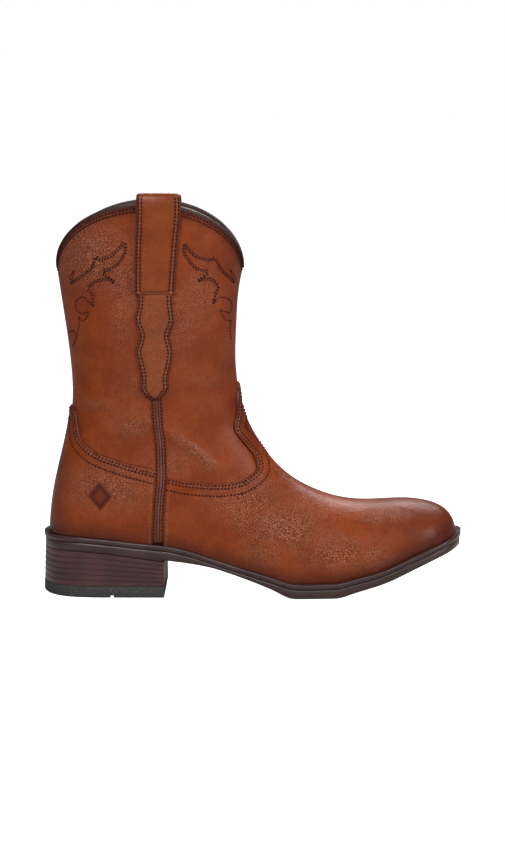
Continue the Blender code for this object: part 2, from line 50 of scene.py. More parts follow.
# The boot's own sizes
LAST_LENGTH = 290.0 * MM
BALL_WIDTH = 92.0 * MM
INSTEP_RISE = 72.0 * MM
SHAFT_HEIGHT = 189.0 * MM
SHAFT_LENGTH = 132.0 * MM
SHAFT_WIDTH = 86.0 * MM
COLLAR_DIP = 45.0 * MM
HEEL_RISE = 43.5 * MM
TOE_SPRING = 43.5 * MM
HEEL_LENGTH = 90.0 * MM
HEEL_OVERHANG = 8.0 * MM
UPPER_WALL = 2.0 * MM
OVERLAY = 1.3 * MM
GAP = 0.35 * MM
OVERLAY_GAP = 0.5 * MM
LEVEL_BAND = 12.0 * MM
WELT_THICKNESS = 3.6 * MM
WELT_MARGIN = 5.2 * MM
OUTSOLE_STEP = 0.7 * MM
SOLE_CAMBER = 1.3 * MM
CAP_HEIGHT = 8.0 * MM
CAP_FLARE = 1.2 * MM
CAP_GROOVE = 1.8 * MM
LIFTS = 6
LIFT_GROOVE = 0.7 * MM
INSOLE_THICKNESS = 3.0 * MM
INSOLE_CLEARANCE = 2.4 * MM
INSOLE_LIFT = 0.7 * MM
STRAP_THICKNESS = 1.8 * MM
STRAP_STAND_OFF = 2.0 * MM
STRAP_RISE = 12.5 * MM
STRAP_INSIDE = 30.0 * MM
STRAP_SHIFT = -0.008
BINDING_LEG = 1.1 * MM

# Sizes of the dressing
EASE = 0.8
MERGE = 2e-6
STITCH_PITCH = 2.5 * MM
STITCH_LENGTH = 2.15 * MM
THREAD_RADIUS = 0.52 * MM
THREAD_SIDES = 6
FLAME_PITCH = 2.1 * MM
FLAME_LENGTH = 1.75 * MM
FLAME_RADIUS = 0.44 * MM
FLAME_DOUBLE = 1.3 * MM
FLAME_DENT = 0.16 * MM
COLLAR_ROWS = (2.6 * MM, 4.8 * MM)
ROW_SHIFTS = (1.6 * MM, 3.7 * MM, 8.8 * MM)
TAB_SHIFTS = (1.7 * MM, 3.9 * MM)
STRAP_SHIFTS = (1.6 * MM, 4.0 * MM)
RIDGE_CLEAR = 1.2 * MM
ROW_DENT = 0.30 * MM
OVERLAY_DENT = 0.32 * MM
ROW_SPREAD = 0.9 * MM
SKIVE = 1.2 * MM
EDGE_ROLL = 0.25 * MM
EDGE_ROLL_AT = 2.7 * MM
TAB_CROWN = 0.5 * MM
STRAP_SEAM = 0.5 * MM
BINDING_THICK = 0.55 * MM
TREAD_WIDTH = 2.6 * MM
TREAD_PLACE = 0.5
FULL = 0.92  # the darkest that burnishing makes the leather

HEEL_POINT = HEEL_OVERHANG - HEEL_LENGTH / 2

SOLE_COLUMNS = ("x", "heel", "spring", "thick_heel", "thick_spring", "margin")
SOLE_ROWS = (
    (-0.03, 1.000, 0.000, 0.24, 0.000, 1.25),
    (0.06, 0.995, 0.000, 0.24, 0.000, 0.80),
    (0.13, 0.965, 0.000, 0.24, 0.000, 0.60),
    (0.21, 0.905, 0.000, 0.25, 0.000, 0.58),
    (0.29, 0.850, 0.000, 0.27, 0.000, 0.58),
    (0.34, 0.780, 0.000, 0.24, 0.000, 0.60),
    (0.42, 0.615, 0.000, 0.18, 0.000, 0.66),
    (0.48, 0.500, 0.000, 0.19, 0.000, 0.76),
    (0.54, 0.390, 0.000, 0.225, 0.000, 0.88),
    (0.60, 0.275, 0.000, 0.275, 0.000, 1.00),
    (0.70, 0.250, 0.025, 0.250, 0.025, 1.00),
    (0.75, 0.225, 0.120, 0.225, 0.035, 1.00),
    (0.82, 0.140, 0.330, 0.13, 0.120, 1.00),
    (0.90, 0.060, 0.640, 0.05, 0.200, 1.00),
    (1.03, 0.000, 1.040, 0.00, 0.240, 1.00),
)

# Sections of the foot, from the toe's feather line back to the heel seat
FOOT_COLUMNS = (
    "ridge_x", "ridge_rise", "base_x", "lateral", "medial", "turn", "bias", "blunt"
)
FOOT_ROWS = (
    (1.000, 0.000, 0.955, 0.275, 0.275, 75, 0.020, 1.00),
    (0.996, 0.085, 0.930, 0.305, 0.310, 82, 0.022, 1.00),
    (0.985, 0.185, 0.902, 0.335, 0.350, 88, 0.025, 1.00),
    (0.965, 0.285, 0.870, 0.365, 0.392, 93, 0.028, 1.00),
    (0.925, 0.400, 0.820, 0.395, 0.440, 97, 0.030, 1.00),
    (0.870, 0.515, 0.755, 0.430, 0.490, 100, 0.030, 1.00),
    (0.810, 0.590, 0.690, 0.452, 0.523, 102, 0.026, 1.00),
    (0.740, 0.665, 0.620, 0.460, 0.530, 103, 0.020, 1.00),
    (0.670, 0.780, 0.545, 0.445, 0.495, 104, 0.014, 1.00),
    (0.605, 0.900, 0.465, 0.405, 0.430, 105, 0.010, 1.00),
    (0.555, 1.020, 0.375, 0.365, 0.378, 106, 0.006, 1.02),
    (0.520, 1.160, 0.280, 0.350, 0.355, 108, 0.003, 1.06),
    (0.497, 1.290, 0.190, 0.355, 0.358, 112, 0.000, 1.12),
    (0.482, 1.390, 0.115, 0.362, 0.364, 117, 0.000, 1.18),
    (0.474, 1.480, 0.060, 0.362, 0.364, 128, 0.000, 1.22),
    (0.468, 1.560, 0.024, 0.362, 0.364, 145, 0.000, 1.25),
    (0.465, 1.640, 0.005, 0.364, 0.366, 165, 0.000, 1.25),
    (0.463, 1.720, 0.000, 0.368, 0.370, 180, 0.000, 1.25),
)

# Rings of the shaft above the heel seat
SHAFT_COLUMNS = ("front_x", "front_z", "back_x", "back_z", "half_width", "crown", "blunt")
SHAFT_ROWS = (
    (1.010, 0.600, 0.008, 0.085, 0.402, 0.00, 1.24),
    (1.006, 0.630, 0.028, 0.175, 0.410, 0.00, 1.22),
    (1.004, 0.668, 0.066, 0.285, 0.420, 0.00, 1.18),
    (1.005, 0.715, 0.105, 0.400, 0.432, 0.00, 1.12),
    (1.009, 0.770, 0.126, 0.510, 0.447, 0.02, 1.06),
    (1.012, 0.830, 0.118, 0.630, 0.463, 0.12, 1.02),
    (1.018, 0.890, 0.096, 0.755, 0.478, 0.35, 1.00),
    (1.029, 0.945, 0.070, 0.880, 0.490, 0.68, 1.00),
    (1.048, 1.000, 0.046, 1.000, 0.500, 1.00, 1.00),
)

# Side-view curves, as shares of the last's length and of the shaft's height
VAMP_TOP = (
    (0.294, 0.457), (0.345, 0.439), (0.422, 0.429), (0.461, 0.433), (0.493, 0.454),
    (0.510, 0.484), (0.505, 0.514), (0.481, 0.562), (0.458, 0.605), (0.452, 0.632),
    (0.456, 0.665), (0.460, 0.743), (0.464, 0.800),
)
COUNTER_TOP = (
    (0.265, 0.480), (0.193, 0.514), (0.119, 0.556), (0.083, 0.605), (0.076, 0.646),
    (0.070, 0.700), (0.056, 0.710),
)
SEAM = (
    (0.268, 0.216), (0.271, 0.350), (0.277, 0.470), (0.276, 0.570), (0.270, 0.662),
    (0.267, 0.756),
)
SEAM_HALF = 0.0104
TAB_COLUMNS = ("z", "rear", "front")
TAB_ROWS = (
    (1.165, 0.224, 0.311),
    (1.115, 0.225, 0.309),
    (1.050, 0.218, 0.313),
    (0.992, 0.228, 0.302),
    (0.933, 0.219, 0.309),
    (0.884, 0.225, 0.305),
    (0.835, 0.230, 0.297),
    (0.800, 0.229, 0.298),
    (0.775, 0.236, 0.289),
    (0.752, 0.257, 0.275),
    (0.744, 0.265, 0.269),
)
STRAP_ROWS = (
    (1.150, 0.219, 0.312),
    (1.300, 0.221, 0.320),
    (1.435, 0.225, 0.328),
)

# The photo's camera: place, degrees down, and the picture's size and focal length in pixels
CAMERA_PLACE = (0.1077, -1.400, 0.325)
CAMERA_PITCH = 8.57
PICTURE_COLUMNS, PICTURE_ROWS = 505, 864
FOCAL_ROWS = 1973

# Flame stitching on the shaft's rear panel and its front one, as read in the photo, in pixels.
# The first strokes of each are sewn twice
FLAME_DOUBLED = 6
REAR_FLAME = (
    ((125.1, 242.3), (120.2, 248.2), (113.1, 255.2), (107.5, 258), (101.9, 260.2), (95.6, 257.3)),
    ((95.6, 257.3), (94.2, 264.4), (89.3, 271.4), (81.6, 277), (71, 284)),
    ((125.6, 242.3), (126.5, 249.6), (123, 258), (115.9, 266.5), (108.2, 270.7), (103, 271.7)),
    ((103, 271.7), (109.6, 277.7), (114.9, 283)),
    ((114.9, 283), (106.1, 280.1), (95.6, 282.6), (88.2, 288.2)),
    ((88.2, 288.2), (93.5, 298), (93.8, 307.6)),
    ((71, 284), (70, 276.5), (74, 270), (72.5, 277.5), (71, 284)),
    ((93.8, 307.6), (87.4, 301.2), (81, 297.2), (75.4, 302.8), (76.2, 309.1), (82.6, 313.9),
     (89, 312.3)),
    ((89, 312.3), (84.2, 321.1), (77.8, 318.7)),
    ((79.4, 316), (79.4, 323.5), (76.2, 339.4), (73, 347.4)),
    ((69, 333), (73, 330.7), (78, 337)),
)
FRONT_FLAME = (
    ((183.9, 243.8), (189.4, 251.7), (197.4, 258.1), (207, 260.5), (215, 258.9)),
    ((215, 258.9), (219.7, 269.3), (229.3, 278.9), (234.1, 283.6)),
    ((183.1, 244), (183.1, 251.7), (189.4, 262.9), (199, 270.9), (207.8, 272.5)),
    ((207.8, 272.5), (202.5, 277), (197.4, 282)),
    ((197.4, 282), (208.6, 280.4), (218.1, 286)),
    ((218.1, 286), (214.5, 295), (212.6, 304.4)),
    ((234.1, 283.6), (235.5, 278), (229.5, 269), (232, 276.5), (234.1, 283.6)),
    ((212.6, 304.4), (221.3, 297.2), (229.3, 299.6), (231.7, 306), (229.3, 313.1), (219.7, 310.7)),
    ((219.7, 310.7), (226.1, 320.3), (230.9, 320.3)),
    ((230.9, 320.3), (230.1, 329.9), (230.9, 339.4)),
)


def table(columns, rows):
    """Each column of a table as an array."""
    return dict(zip(columns, np.array(rows, float).T))


def smooth(at, knots, values):
    """Monotone cubic through the knots."""
    at = np.clip(np.asarray(at, float), knots[0], knots[-1])
    steps = np.diff(knots)
    slopes = np.diff(values) / steps
    inner = slopes[:-1] * slopes[1:]
    total = slopes[:-1] + slopes[1:]
    tangents = np.zeros(len(knots))
    tangents[1:-1] = np.where(inner > 0, 2 * inner / np.where(inner > 0, total, 1), 0)
    tangents[0], tangents[-1] = slopes[0], slopes[-1]
    i = np.clip(np.searchsorted(knots, at, side="right") - 1, 0, len(steps) - 1)
    t = (at - knots[i]) / steps[i]
    rise = values[i + 1] - values[i]
    start = tangents[i] * steps[i]
    end = tangents[i + 1] * steps[i]
    return values[i] + t * (start + t * (3 * rise - 2 * start - end + t * (start + end - 2 * rise)))


SOLE = table(SOLE_COLUMNS, SOLE_ROWS)


def along(share):
    return HEEL_POINT + np.asarray(share, float) * LAST_LENGTH


def sole_value(x, column):
    return smooth((np.asarray(x, float) - HEEL_POINT) / LAST_LENGTH, SOLE["x"], SOLE[column])


def sole_top(x):
    return HEEL_RISE * sole_value(x, "heel") + TOE_SPRING * sole_value(x, "spring")


def sole_bottom(x):
    thick = HEEL_RISE * sole_value(x, "thick_heel") + TOE_SPRING * sole_value(x, "thick_spring")
    return np.maximum(sole_top(x) - thick, 0)


def section_columns():
    """The foot's and the shaft's rows as one run of sections, in metres."""
    foot = table(FOOT_COLUMNS, FOOT_ROWS)
    shaft = table(SHAFT_COLUMNS, SHAFT_ROWS)
    none = np.zeros(len(SHAFT_ROWS))
    ridge_x, base_x = along(foot["ridge_x"]), along(foot["base_x"])
    front_x = HEEL_POINT + shaft["front_x"] * SHAFT_LENGTH
    back_x = HEEL_POINT + shaft["back_x"] * SHAFT_LENGTH
    half = shaft["half_width"] * SHAFT_WIDTH
    ridge_z = sole_top(ridge_x) + foot["ridge_rise"] * INSTEP_RISE
    return {
        "ridge_x": np.append(ridge_x, front_x),
        "ridge_z": np.append(ridge_z, HEEL_RISE + shaft["front_z"] * SHAFT_HEIGHT),
        "base_x": np.append(base_x, back_x),
        "lift": np.append(0 * base_x, shaft["back_z"] * SHAFT_HEIGHT),
        "lateral": np.append(foot["lateral"] * BALL_WIDTH, half),
        "medial": np.append(foot["medial"] * BALL_WIDTH, half),
        "turn": np.radians(np.append(foot["turn"], none + 180)),
        "bias": np.append(foot["bias"] * BALL_WIDTH, none),
        "crown": np.append(0 * base_x, shaft["crown"] * COLLAR_DIP),
        "blunt": np.append(foot["blunt"], shaft["blunt"]),
    }


SECTIONS = section_columns()
SECTION_COUNT = len(SECTIONS["turn"])
HEEL_SECTION = len(FOOT_ROWS) - 1
COLLAR_SECTION = SECTION_COUNT - 1


def skin(a, b):
    """Point of the last's skin: a runs over the sections, b from lateral -1 to medial 1."""
    a, b = np.broadcast_arrays(np.asarray(a, float), np.asarray(b, float))
    knots = np.arange(SECTION_COUNT, dtype=float)
    at = {name: smooth(a, knots, column) for name, column in SECTIONS.items()}
    angle = np.abs(b) * at["turn"]
    left = (np.cos(angle) - np.cos(at["turn"])) / (1 - np.cos(at["turn"]))
    down = 1 - np.clip(left, 0, 1) ** at["blunt"]
    half = np.where(b < 0, -at["lateral"], at["medial"])
    base_z = sole_top(at["base_x"]) + at["lift"]
    x = at["ridge_x"] + (at["base_x"] - at["ridge_x"]) * down
    y = at["bias"] + half * np.sin(angle)
    z = at["ridge_z"] + (base_z - at["ridge_z"]) * down + at["crown"] * np.sin(angle)
    return np.stack([x, y, z + GAP], axis=-1)


def eased(a, b):
    """The skin averaged over nearby sections, so that no section line shows as a crease."""
    a, b = np.broadcast_arrays(np.asarray(a, float), np.asarray(b, float))
    reach = np.minimum(EASE, np.minimum(a, COLLAR_SECTION - a))
    total = 0
    for share, weight in ((-1.0, 1), (-0.5, 2), (0.0, 2), (0.5, 2), (1.0, 1)):
        total = total + weight * skin(a + share * reach, b)
    keep = np.clip((1 - np.abs(b)) / 0.10, 0, 1)
    keep = np.maximum(keep, np.clip(a - HEEL_SECTION, 0, 1))[..., None]
    return skin(a, b) * (1 - keep) + total / 8 * keep


def skin_normal(a, b):
    step, reach = 0.01, 0.3
    a, b = np.broadcast_arrays(np.asarray(a, float), np.asarray(b, float))
    a0, a1 = np.maximum(a - reach, 0), np.minimum(a + reach, COLLAR_SECTION)
    closed = a >= HEEL_SECTION
    b0 = np.where(closed & (b - step < -1), b - step + 2, np.maximum(b - step, -1))
    b1 = np.where(closed & (b + step > 1), b + step - 2, np.minimum(b + step, 1))
    across = skin(a, b1) - skin(a, b0)
    on = skin(a1, b) - skin(a0, b)
    normal = np.cross(across, on)
    return normal / np.linalg.norm(normal, axis=-1, keepdims=True)


def raised(a, b, height):
    """Points off the skin, moved level near the feather line so that they clear the sole."""
    points, normal = eased(a, b), skin_normal(a, b)
    above = points[..., 2] - sole_top(points[..., 0])
    down = np.minimum(normal[..., 2], 0)
    normal[..., 2] -= down * np.clip(1 - above / LEVEL_BAND, 0, 1)
    normal /= np.linalg.norm(normal, axis=-1, keepdims=True)
    return points + normal * np.asarray(height)[..., None]


def on_side(x, z, side, surface=eased):
    """The (a, b) of the point seen at x, z from one side."""
    x, z = np.atleast_1d(x).astype(float), np.atleast_1d(z).astype(float)
    a, b = np.meshgrid(np.linspace(0, COLLAR_SECTION, 209), np.linspace(0.05, 1, 77), indexing="ij")
    seen = surface(a, side * b)
    found_a, found_b = np.empty(len(x)), np.empty(len(x))
    for i in range(len(x)):
        away = (seen[..., 0] - x[i]) ** 2 + (seen[..., 2] - z[i]) ** 2
        near = np.unravel_index(np.argmin(away), away.shape)
        found_a[i], found_b[i] = a[near], b[near]
    for _ in range(6):
        here = surface(found_a, side * found_b)
        by_a = here - surface(found_a - 0.01, side * found_b)
        by_b = surface(found_a, side * (found_b - 0.01)) - here
        miss_x, miss_z = x - here[:, 0], z - here[:, 2]
        cross = by_a[:, 0] * by_b[:, 2] - by_a[:, 2] * by_b[:, 0]
        cross = np.where(np.abs(cross) < 1e-10, 1e-10, cross)
        move_a = (miss_x * by_b[:, 2] - miss_z * by_b[:, 0]) / cross
        move_b = (by_a[:, 0] * miss_z - by_a[:, 2] * miss_x) / cross
        found_a = np.clip(found_a + 0.01 * np.clip(move_a, -30, 30), 0.01, COLLAR_SECTION)
        found_b = np.clip(found_b - 0.01 * np.clip(move_b, -5, 5), 0.02, 1)
    return found_a, found_b


def seen_at(pixels, y):
    """The x and z of what the photo shows at each pixel, where it lies at y."""
    across = (pixels[:, 0] - PICTURE_COLUMNS / 2) / FOCAL_ROWS
    down = (pixels[:, 1] - PICTURE_ROWS / 2) / FOCAL_ROWS
    tilt = math.radians(CAMERA_PITCH)
    reach = (y - CAMERA_PLACE[1]) / (math.cos(tilt) - down * math.sin(tilt))
    fall = math.sin(tilt) + down * math.cos(tilt)
    return CAMERA_PLACE[0] + reach * across, CAMERA_PLACE[2] - reach * fall


def on_photo(strokes):
    """The (a, b) of strokes read in the photo, on the outer side of the boot."""
    place = np.concatenate([np.array(stroke, float) for stroke in strokes])
    y = np.full(len(place), -40 * MM)
    for _ in range(5):
        a, b = on_side(*seen_at(place, y), -1, skin)
        y = skin(a, -b)[:, 1]
    ends = np.cumsum([len(stroke) for stroke in strokes])
    return np.split(np.column_stack([a, b]), ends[:-1])


def curve_through(points, count):
    """Evenly parted points on a smooth curve through the given ones."""
    points = np.array(points, float)
    lengths = np.append(0, np.cumsum(np.linalg.norm(np.diff(points, axis=0), axis=1)))
    at = np.linspace(0, lengths[-1], count)
    return np.stack([smooth(at, lengths, points[:, i]) for i in range(points.shape[1])], axis=-1)


def on_curve(points, count, side):
    """(a, b) along a side-view curve on one side of the boot."""
    place = curve_through(points, count)
    return on_side(along(place[:, 0]), place[:, 1] * SHAFT_HEIGHT, side)


def seam_edge(shift, top):
    return [(x + shift, z) for x, z in SEAM if z < top]


# Materials

class Look:
    """A material's nodes, added one by one."""

    def __init__(self, name, color, roughness):
        self.material = bpy.data.materials.new(name)
        self.material.use_nodes = True
        self.tree = self.material.node_tree
        self.shader = self.tree.nodes["Principled BSDF"]
        self.shader.inputs["Base Color"].default_value = (*color, 1)
        self.shader.inputs["Roughness"].default_value = roughness
        self.place = self.tree.nodes.new("ShaderNodeTexCoord").outputs["Object"]

    def node(self, kind, settings=None, **inputs):
        made = self.tree.nodes.new(kind)
        for name, value in (settings or {}).items():
            setattr(made, name, value)
        for name, value in inputs.items():
            self.set(made, name.replace("_", " "), value)
        return made

    def set(self, node, name, value):
        if isinstance(value, bpy.types.NodeSocket):
            self.tree.links.new(value, node.inputs[name])
        else:
            node.inputs[name].default_value = value

    def noise(self, scale, detail=3.0, stretch=None):
        place = self.place
        if stretch:
            mapping = self.node("ShaderNodeMapping", Scale=stretch)
            self.set(mapping, "Vector", place)
            place = mapping.outputs["Vector"]
        made = self.node("ShaderNodeTexNoise", Scale=scale, Detail=detail)
        self.set(made, "Vector", place)
        return made.outputs["Fac"]

    def cells(self, scale):
        """Height of a pebble: high in its middle and low in the creases between."""
        warp = self.node("ShaderNodeTexNoise", Scale=scale * 0.8, Detail=2.0)
        self.set(warp, "Vector", self.place)
        bend = self.node("ShaderNodeVectorMath", {"operation": "SCALE"})
        self.set(bend, 0, warp.outputs["Color"])
        bend.inputs["Scale"].default_value = 0.6 / scale
        moved = self.node("ShaderNodeVectorMath", {"operation": "ADD"})
        self.set(moved, 0, self.place)
        self.set(moved, 1, bend.outputs["Vector"])
        made = self.node("ShaderNodeTexVoronoi", {"feature": "DISTANCE_TO_EDGE"}, Scale=scale)
        self.set(made, "Vector", moved.outputs["Vector"])
        return self.span(made.outputs["Distance"], 0.0, 0.16, 0.0, 1.0)

    def span(self, value, low, high, to_low, to_high):
        made = self.node("ShaderNodeMapRange", {"interpolation_type": "SMOOTHSTEP"})
        limits = {"From Min": low, "From Max": high, "To Min": to_low, "To Max": to_high}
        for name, number in limits.items():
            made.inputs[name].default_value = number
        self.set(made, "Value", value)
        return made.outputs["Result"]

    def math(self, operation, first, second):
        made = self.node("ShaderNodeMath", {"operation": operation})
        self.set(made, 0, first)
        self.set(made, 1, second)
        return made.outputs[0]

    def mix(self, share, first, second):
        made = self.node("ShaderNodeMix", {"data_type": "RGBA"})
        for index, value in ((0, share), (6, first), (7, second)):
            if isinstance(value, tuple):
                value = (*value, 1)
            self.set(made, index, value)
        return made.outputs[2]

    def attribute(self, name):
        return self.node("ShaderNodeAttribute", {"attribute_name": name}).outputs["Fac"]

    def bump(self, *layers):
        """Adds layers of (height, strength, distance) to the normal."""
        normal = None
        for height, strength, distance in layers:
            made = self.node("ShaderNodeBump", Strength=strength, Distance=distance)
            self.set(made, "Height", height)
            if normal:
                self.set(made, "Normal", normal)
            normal = made.outputs["Normal"]
        self.set(self.shader, "Normal", normal)


def leather(name, light, deep, burnt, grain_and_highlight=1.0, roughness=0.40):
    """Burnished leather: mottled, darker where it is burnished, pebbled where its attribute marks it, and
    there paler on the pebble tops, which is a painted highlight.
    """
    look = Look(name, light, roughness)
    mottle = look.span(look.noise(44, 7.0), 0.36, 0.66, 0.0, 1.0)
    color = look.mix(mottle, light, deep)
    streak = look.span(look.noise(30, 8.0, (1.0, 1.0, 2.2)), 0.50, 0.75, 0.0, 0.16)
    color = look.mix(streak, color, burnt)
    fleck = look.span(look.noise(420, 4.0), 0.50, 0.72, 0.0, 0.22)
    color = look.mix(fleck, color, burnt)
    color = look.mix(look.attribute("burnish"), color, burnt)
    pebble = look.cells(600)
    pores = look.math("SUBTRACT", 1.0, pebble)
    grain_and_highlight_share = look.attribute("grain_and_highlight")
    # Painted highlight: a paler pinkish colour on the pebble tops, broken up by a noise, as strong as the
    # attribute is high.
    wear_and_highlight = look.span(look.noise(150, 5.0, (1.0, 1.0, 1.6)), 0.30, 0.70, 0.42, 0.68)
    highlight_tops = look.math("MULTIPLY", look.math("ADD", 0.45, look.math("MULTIPLY", pebble, 0.55)), wear_and_highlight)
    color = look.mix(look.math("MULTIPLY", highlight_tops, grain_and_highlight_share), color, PAINTED_HIGHLIGHT)
    color = look.mix(look.math("MULTIPLY", pores, look.math("MULTIPLY", grain_and_highlight_share, 0.50)), color, burnt)
    look.set(look.shader, "Base Color", color)
    rough = look.span(look.noise(60, 3.0), 0.3, 0.7, roughness - 0.06, roughness + 0.08)
    look.set(look.shader, "Roughness", rough)
    look.shader.inputs["Coat Weight"].default_value = 0.12
    look.shader.inputs["Coat Roughness"].default_value = 0.24
    look.shader.inputs["Specular IOR Level"].default_value = 0.12
    strong = look.math("MULTIPLY", pebble, grain_and_highlight_share)
    fine = look.noise(2600, 2.0)
    wrinkle = look.noise(190, 5.0, (1.0, 1.0, 0.55))
    look.bump(
        (wrinkle, 0.55 * grain_and_highlight, 1.6 * MM),
        (strong, 1.0 * grain_and_highlight, 0.60 * MM),
        (fine, 0.25 * grain_and_highlight, 0.12 * MM),
    )
    return look.material


def sole_look(name, color, wear_and_highlight, roughness, line_scale=None):
    """A plain finish with worn patches, and with fine level lines where a scale for them is given."""
    look = Look(name, color, roughness)
    patch = look.span(look.noise(45, 5.0), 0.35, 0.7, 0.0, 1.0)
    look.set(look.shader, "Base Color", look.mix(patch, color, wear_and_highlight))
    rough = look.span(look.noise(90, 3.0), 0.3, 0.7, roughness - 0.07, roughness + 0.1)
    look.set(look.shader, "Roughness", rough)
    layers = [(look.noise(900, 3.0), 0.15, 0.2 * MM)]
    if line_scale:
        layers.append((look.noise(line_scale, 2.0, (0.06, 0.06, 6.0)), 0.35, 0.4 * MM))
    look.bump(*layers)
    return look.material


def rubber_look():
    look = Look("cap_rubber", (0.030, 0.032, 0.029), 0.72)
    speck = look.span(look.noise(1500, 2.0), 0.52, 0.72, 0.0, 1.0)
    look.set(look.shader, "Base Color", look.mix(speck, (0.024, 0.026, 0.024), (0.085, 0.088, 0.08)))
    look.bump((look.noise(1300, 3.0), 0.6, 0.35 * MM))
    return look.material


def thread_look():
    look = Look("maroon_thread", (0.030, 0.004, 0.005), 0.7)
    twist = look.noise(1800, 2.0)
    look.set(look.shader, "Base Color", look.mix(twist, (0.018, 0.002, 0.002), (0.060, 0.007, 0.006)))
    look.shader.inputs["Specular IOR Level"].default_value = 0.2
    look.bump((twist, 0.4, 0.2 * MM))
    return look.material


def lining_look():
    look = Look("lining", (0.42, 0.25, 0.13), 0.78)
    shade = look.span(look.noise(50, 4.0), 0.3, 0.7, 0.0, 1.0)
    look.set(look.shader, "Base Color", look.mix(shade, (0.44, 0.27, 0.15), (0.33, 0.18, 0.09)))
    look.bump((look.noise(1400, 3.0), 0.3, 0.2 * MM))
    return look.material


LIGHT, DEEP, BURNT = (0.262, 0.043, 0.005), (0.195, 0.027, 0.003), (0.060, 0.008, 0.004)
# Painted highlight: the paler pinkish colour laid on the pebble tops.
PAINTED_HIGHLIGHT = (0.50, 0.190, 0.105)
SHAFT_LEATHER = leather("shaft_leather", LIGHT, DEEP, BURNT)
FOOT_LEATHER = leather("foot_leather", (0.270, 0.044, 0.005), (0.205, 0.029, 0.003), BURNT, 1.0, 0.34)
TAB_LEATHER = leather("tab_leather", (0.235, 0.046, 0.008), (0.185, 0.034, 0.006), BURNT, 0.7, 0.36)
LINING = lining_look()
THREAD = thread_look()
# Painted highlight: the seam cord's pale colour.
CORD_HIGHLIGHT = sole_look("seam_cord", (0.150, 0.065, 0.060), (0.085, 0.030, 0.028), 0.36)
# Painted shade: the dark in the grooves beside the seam cord.
GROOVE_SHADE = sole_look("painted_groove_shade", (0.026, 0.006, 0.006), (0.016, 0.004, 0.005), 0.5)
BOUND = sole_look("collar_edge", (0.040, 0.014, 0.012), (0.022, 0.010, 0.010), 0.5)
WELT_EDGE = sole_look("welt_edge", (0.062, 0.030, 0.026), (0.038, 0.017, 0.016), 0.36)
SOLE_EDGE = sole_look("sole_edge", (0.060, 0.028, 0.024), (0.036, 0.017, 0.015), 0.38)
SOLE_UNDER = sole_look("sole_under", (0.050, 0.026, 0.021), (0.032, 0.016, 0.013), 0.55)
STACK = sole_look("heel_leather", (0.085, 0.033, 0.031), (0.046, 0.020, 0.021), 0.42, 60)
RUBBER = rubber_look()


# Pieces

def new_object(name, points, faces, materials):
    """An object from points and faces, on the boot's one body."""
    mesh = bpy.data.meshes.new(name)
    mesh.from_pydata(points.tolist(), [], faces)
    for material in materials:
        mesh.materials.append(material)
    made = bpy.data.objects.new(name, mesh)
    bpy.context.scene.collection.objects.link(made)
    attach(made, "root")
    return made


def piece(name, points, faces, materials, node, slots=None, fields=None, corner=50):
    """A smooth piece that stands for a node, kept sharp where it turns by more than corner degrees."""
    made = new_object(name, points, faces if isinstance(faces, list) else faces.tolist(), materials)
    mesh = made.data
    if slots is not None:
        mesh.polygons.foreach_set("material_index", slots.astype(np.int32))
    for field, values in (fields or {}).items():
        layer = mesh.attributes.new(field, "FLOAT", "POINT")
        layer.data.foreach_set("value", values.astype(np.float32))
    build = bmesh.new()
    build.from_mesh(mesh)
    bmesh.ops.remove_doubles(build, verts=build.verts, dist=MERGE)
    bmesh.ops.dissolve_degenerate(build, edges=build.edges, dist=MERGE)
    bmesh.ops.recalc_face_normals(build, faces=build.faces)
    build.to_mesh(mesh)
    build.free()
    mesh.shade_smooth()
    mesh.set_sharp_from_angle(angle=math.radians(corner))
    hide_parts(node)
    return made


def grid_faces(rows, columns, start=0, ring=False):
    """Quads over a grid of points, whose columns may close into a ring."""
    i = np.arange(rows - 1)[:, None]
    j = np.arange(columns if ring else columns - 1)[None, :]
    k = (j + 1) % columns
    corners = [i * columns + j, i * columns + k, (i + 1) * columns + k, (i + 1) * columns + j]
    cells = np.stack([np.broadcast_to(c, (rows - 1, j.shape[1])) for c in corners], -1)
    return cells.reshape(-1, 4) + start


def shell(outer, inner):
    """Points and faces of a closed shell between two grids of the same size."""
    rows, columns = outer.shape[:2]
    count = rows * columns
    points = np.concatenate([outer.reshape(-1, 3), inner.reshape(-1, 3)])
    border = np.concatenate([
        np.arange(columns),
        np.arange(1, rows) * columns + columns - 1,
        (rows - 1) * columns + np.arange(columns - 2, -1, -1),
        np.arange(rows - 2, 0, -1) * columns,
    ])
    ahead = np.roll(border, -1)
    rim = np.stack([border, ahead, ahead + count, border + count], -1)
    faces = np.concatenate([
        grid_faces(rows, columns), grid_faces(rows, columns, count)[:, ::-1], rim,
    ])
    return points, faces, len(rim)


def nearest(points, targets):
    """Distance from each point to the nearest of the targets."""
    tree = KDTree(len(targets))
    for i, target in enumerate(targets):
        tree.insert(target, i)
    tree.balance()
    flat = points.reshape(-1, 3)
    away = np.array([tree.find(Vector(p))[2] for p in flat])
    return away.reshape(points.shape[:-1])


def bell(distance, width):
    """1 at no distance, falling softly to nothing at about twice the width."""
    return np.exp(-((distance / width) ** 2))


# Rows of stitches

STITCHES = []
STITCH_GROUPS = (
    ("shaft", "shaft_leather"), ("flame", "shaft_leather"), ("foot", "foot_leather"),
    ("tabs", "tab_leather"), ("straps", "tab_leather"), ("seams", "tab_leather"),
)


def stitch_row(path, normals, group, pitch=STITCH_PITCH, length=STITCH_LENGTH, radius=THREAD_RADIUS):
    """Lays stitches along a path of points, each a small arch of thread into the leather."""
    steps = np.linalg.norm(np.diff(path, axis=0), axis=1)
    at = np.append(0, np.cumsum(steps))
    count = max(int(at[-1] / pitch), 1)
    for i in range(count):
        middle = (i + 0.5) * at[-1] / count
        places = middle + np.array([-0.5, -0.2, 0.2, 0.5]) * length
        line = np.stack([np.interp(places, at, path[:, k]) for k in range(3)], -1)
        normal = np.array([np.interp(middle, at, normals[:, k]) for k in range(3)])
        normal /= np.linalg.norm(normal)
        STITCHES.append((group, line, normal, radius))


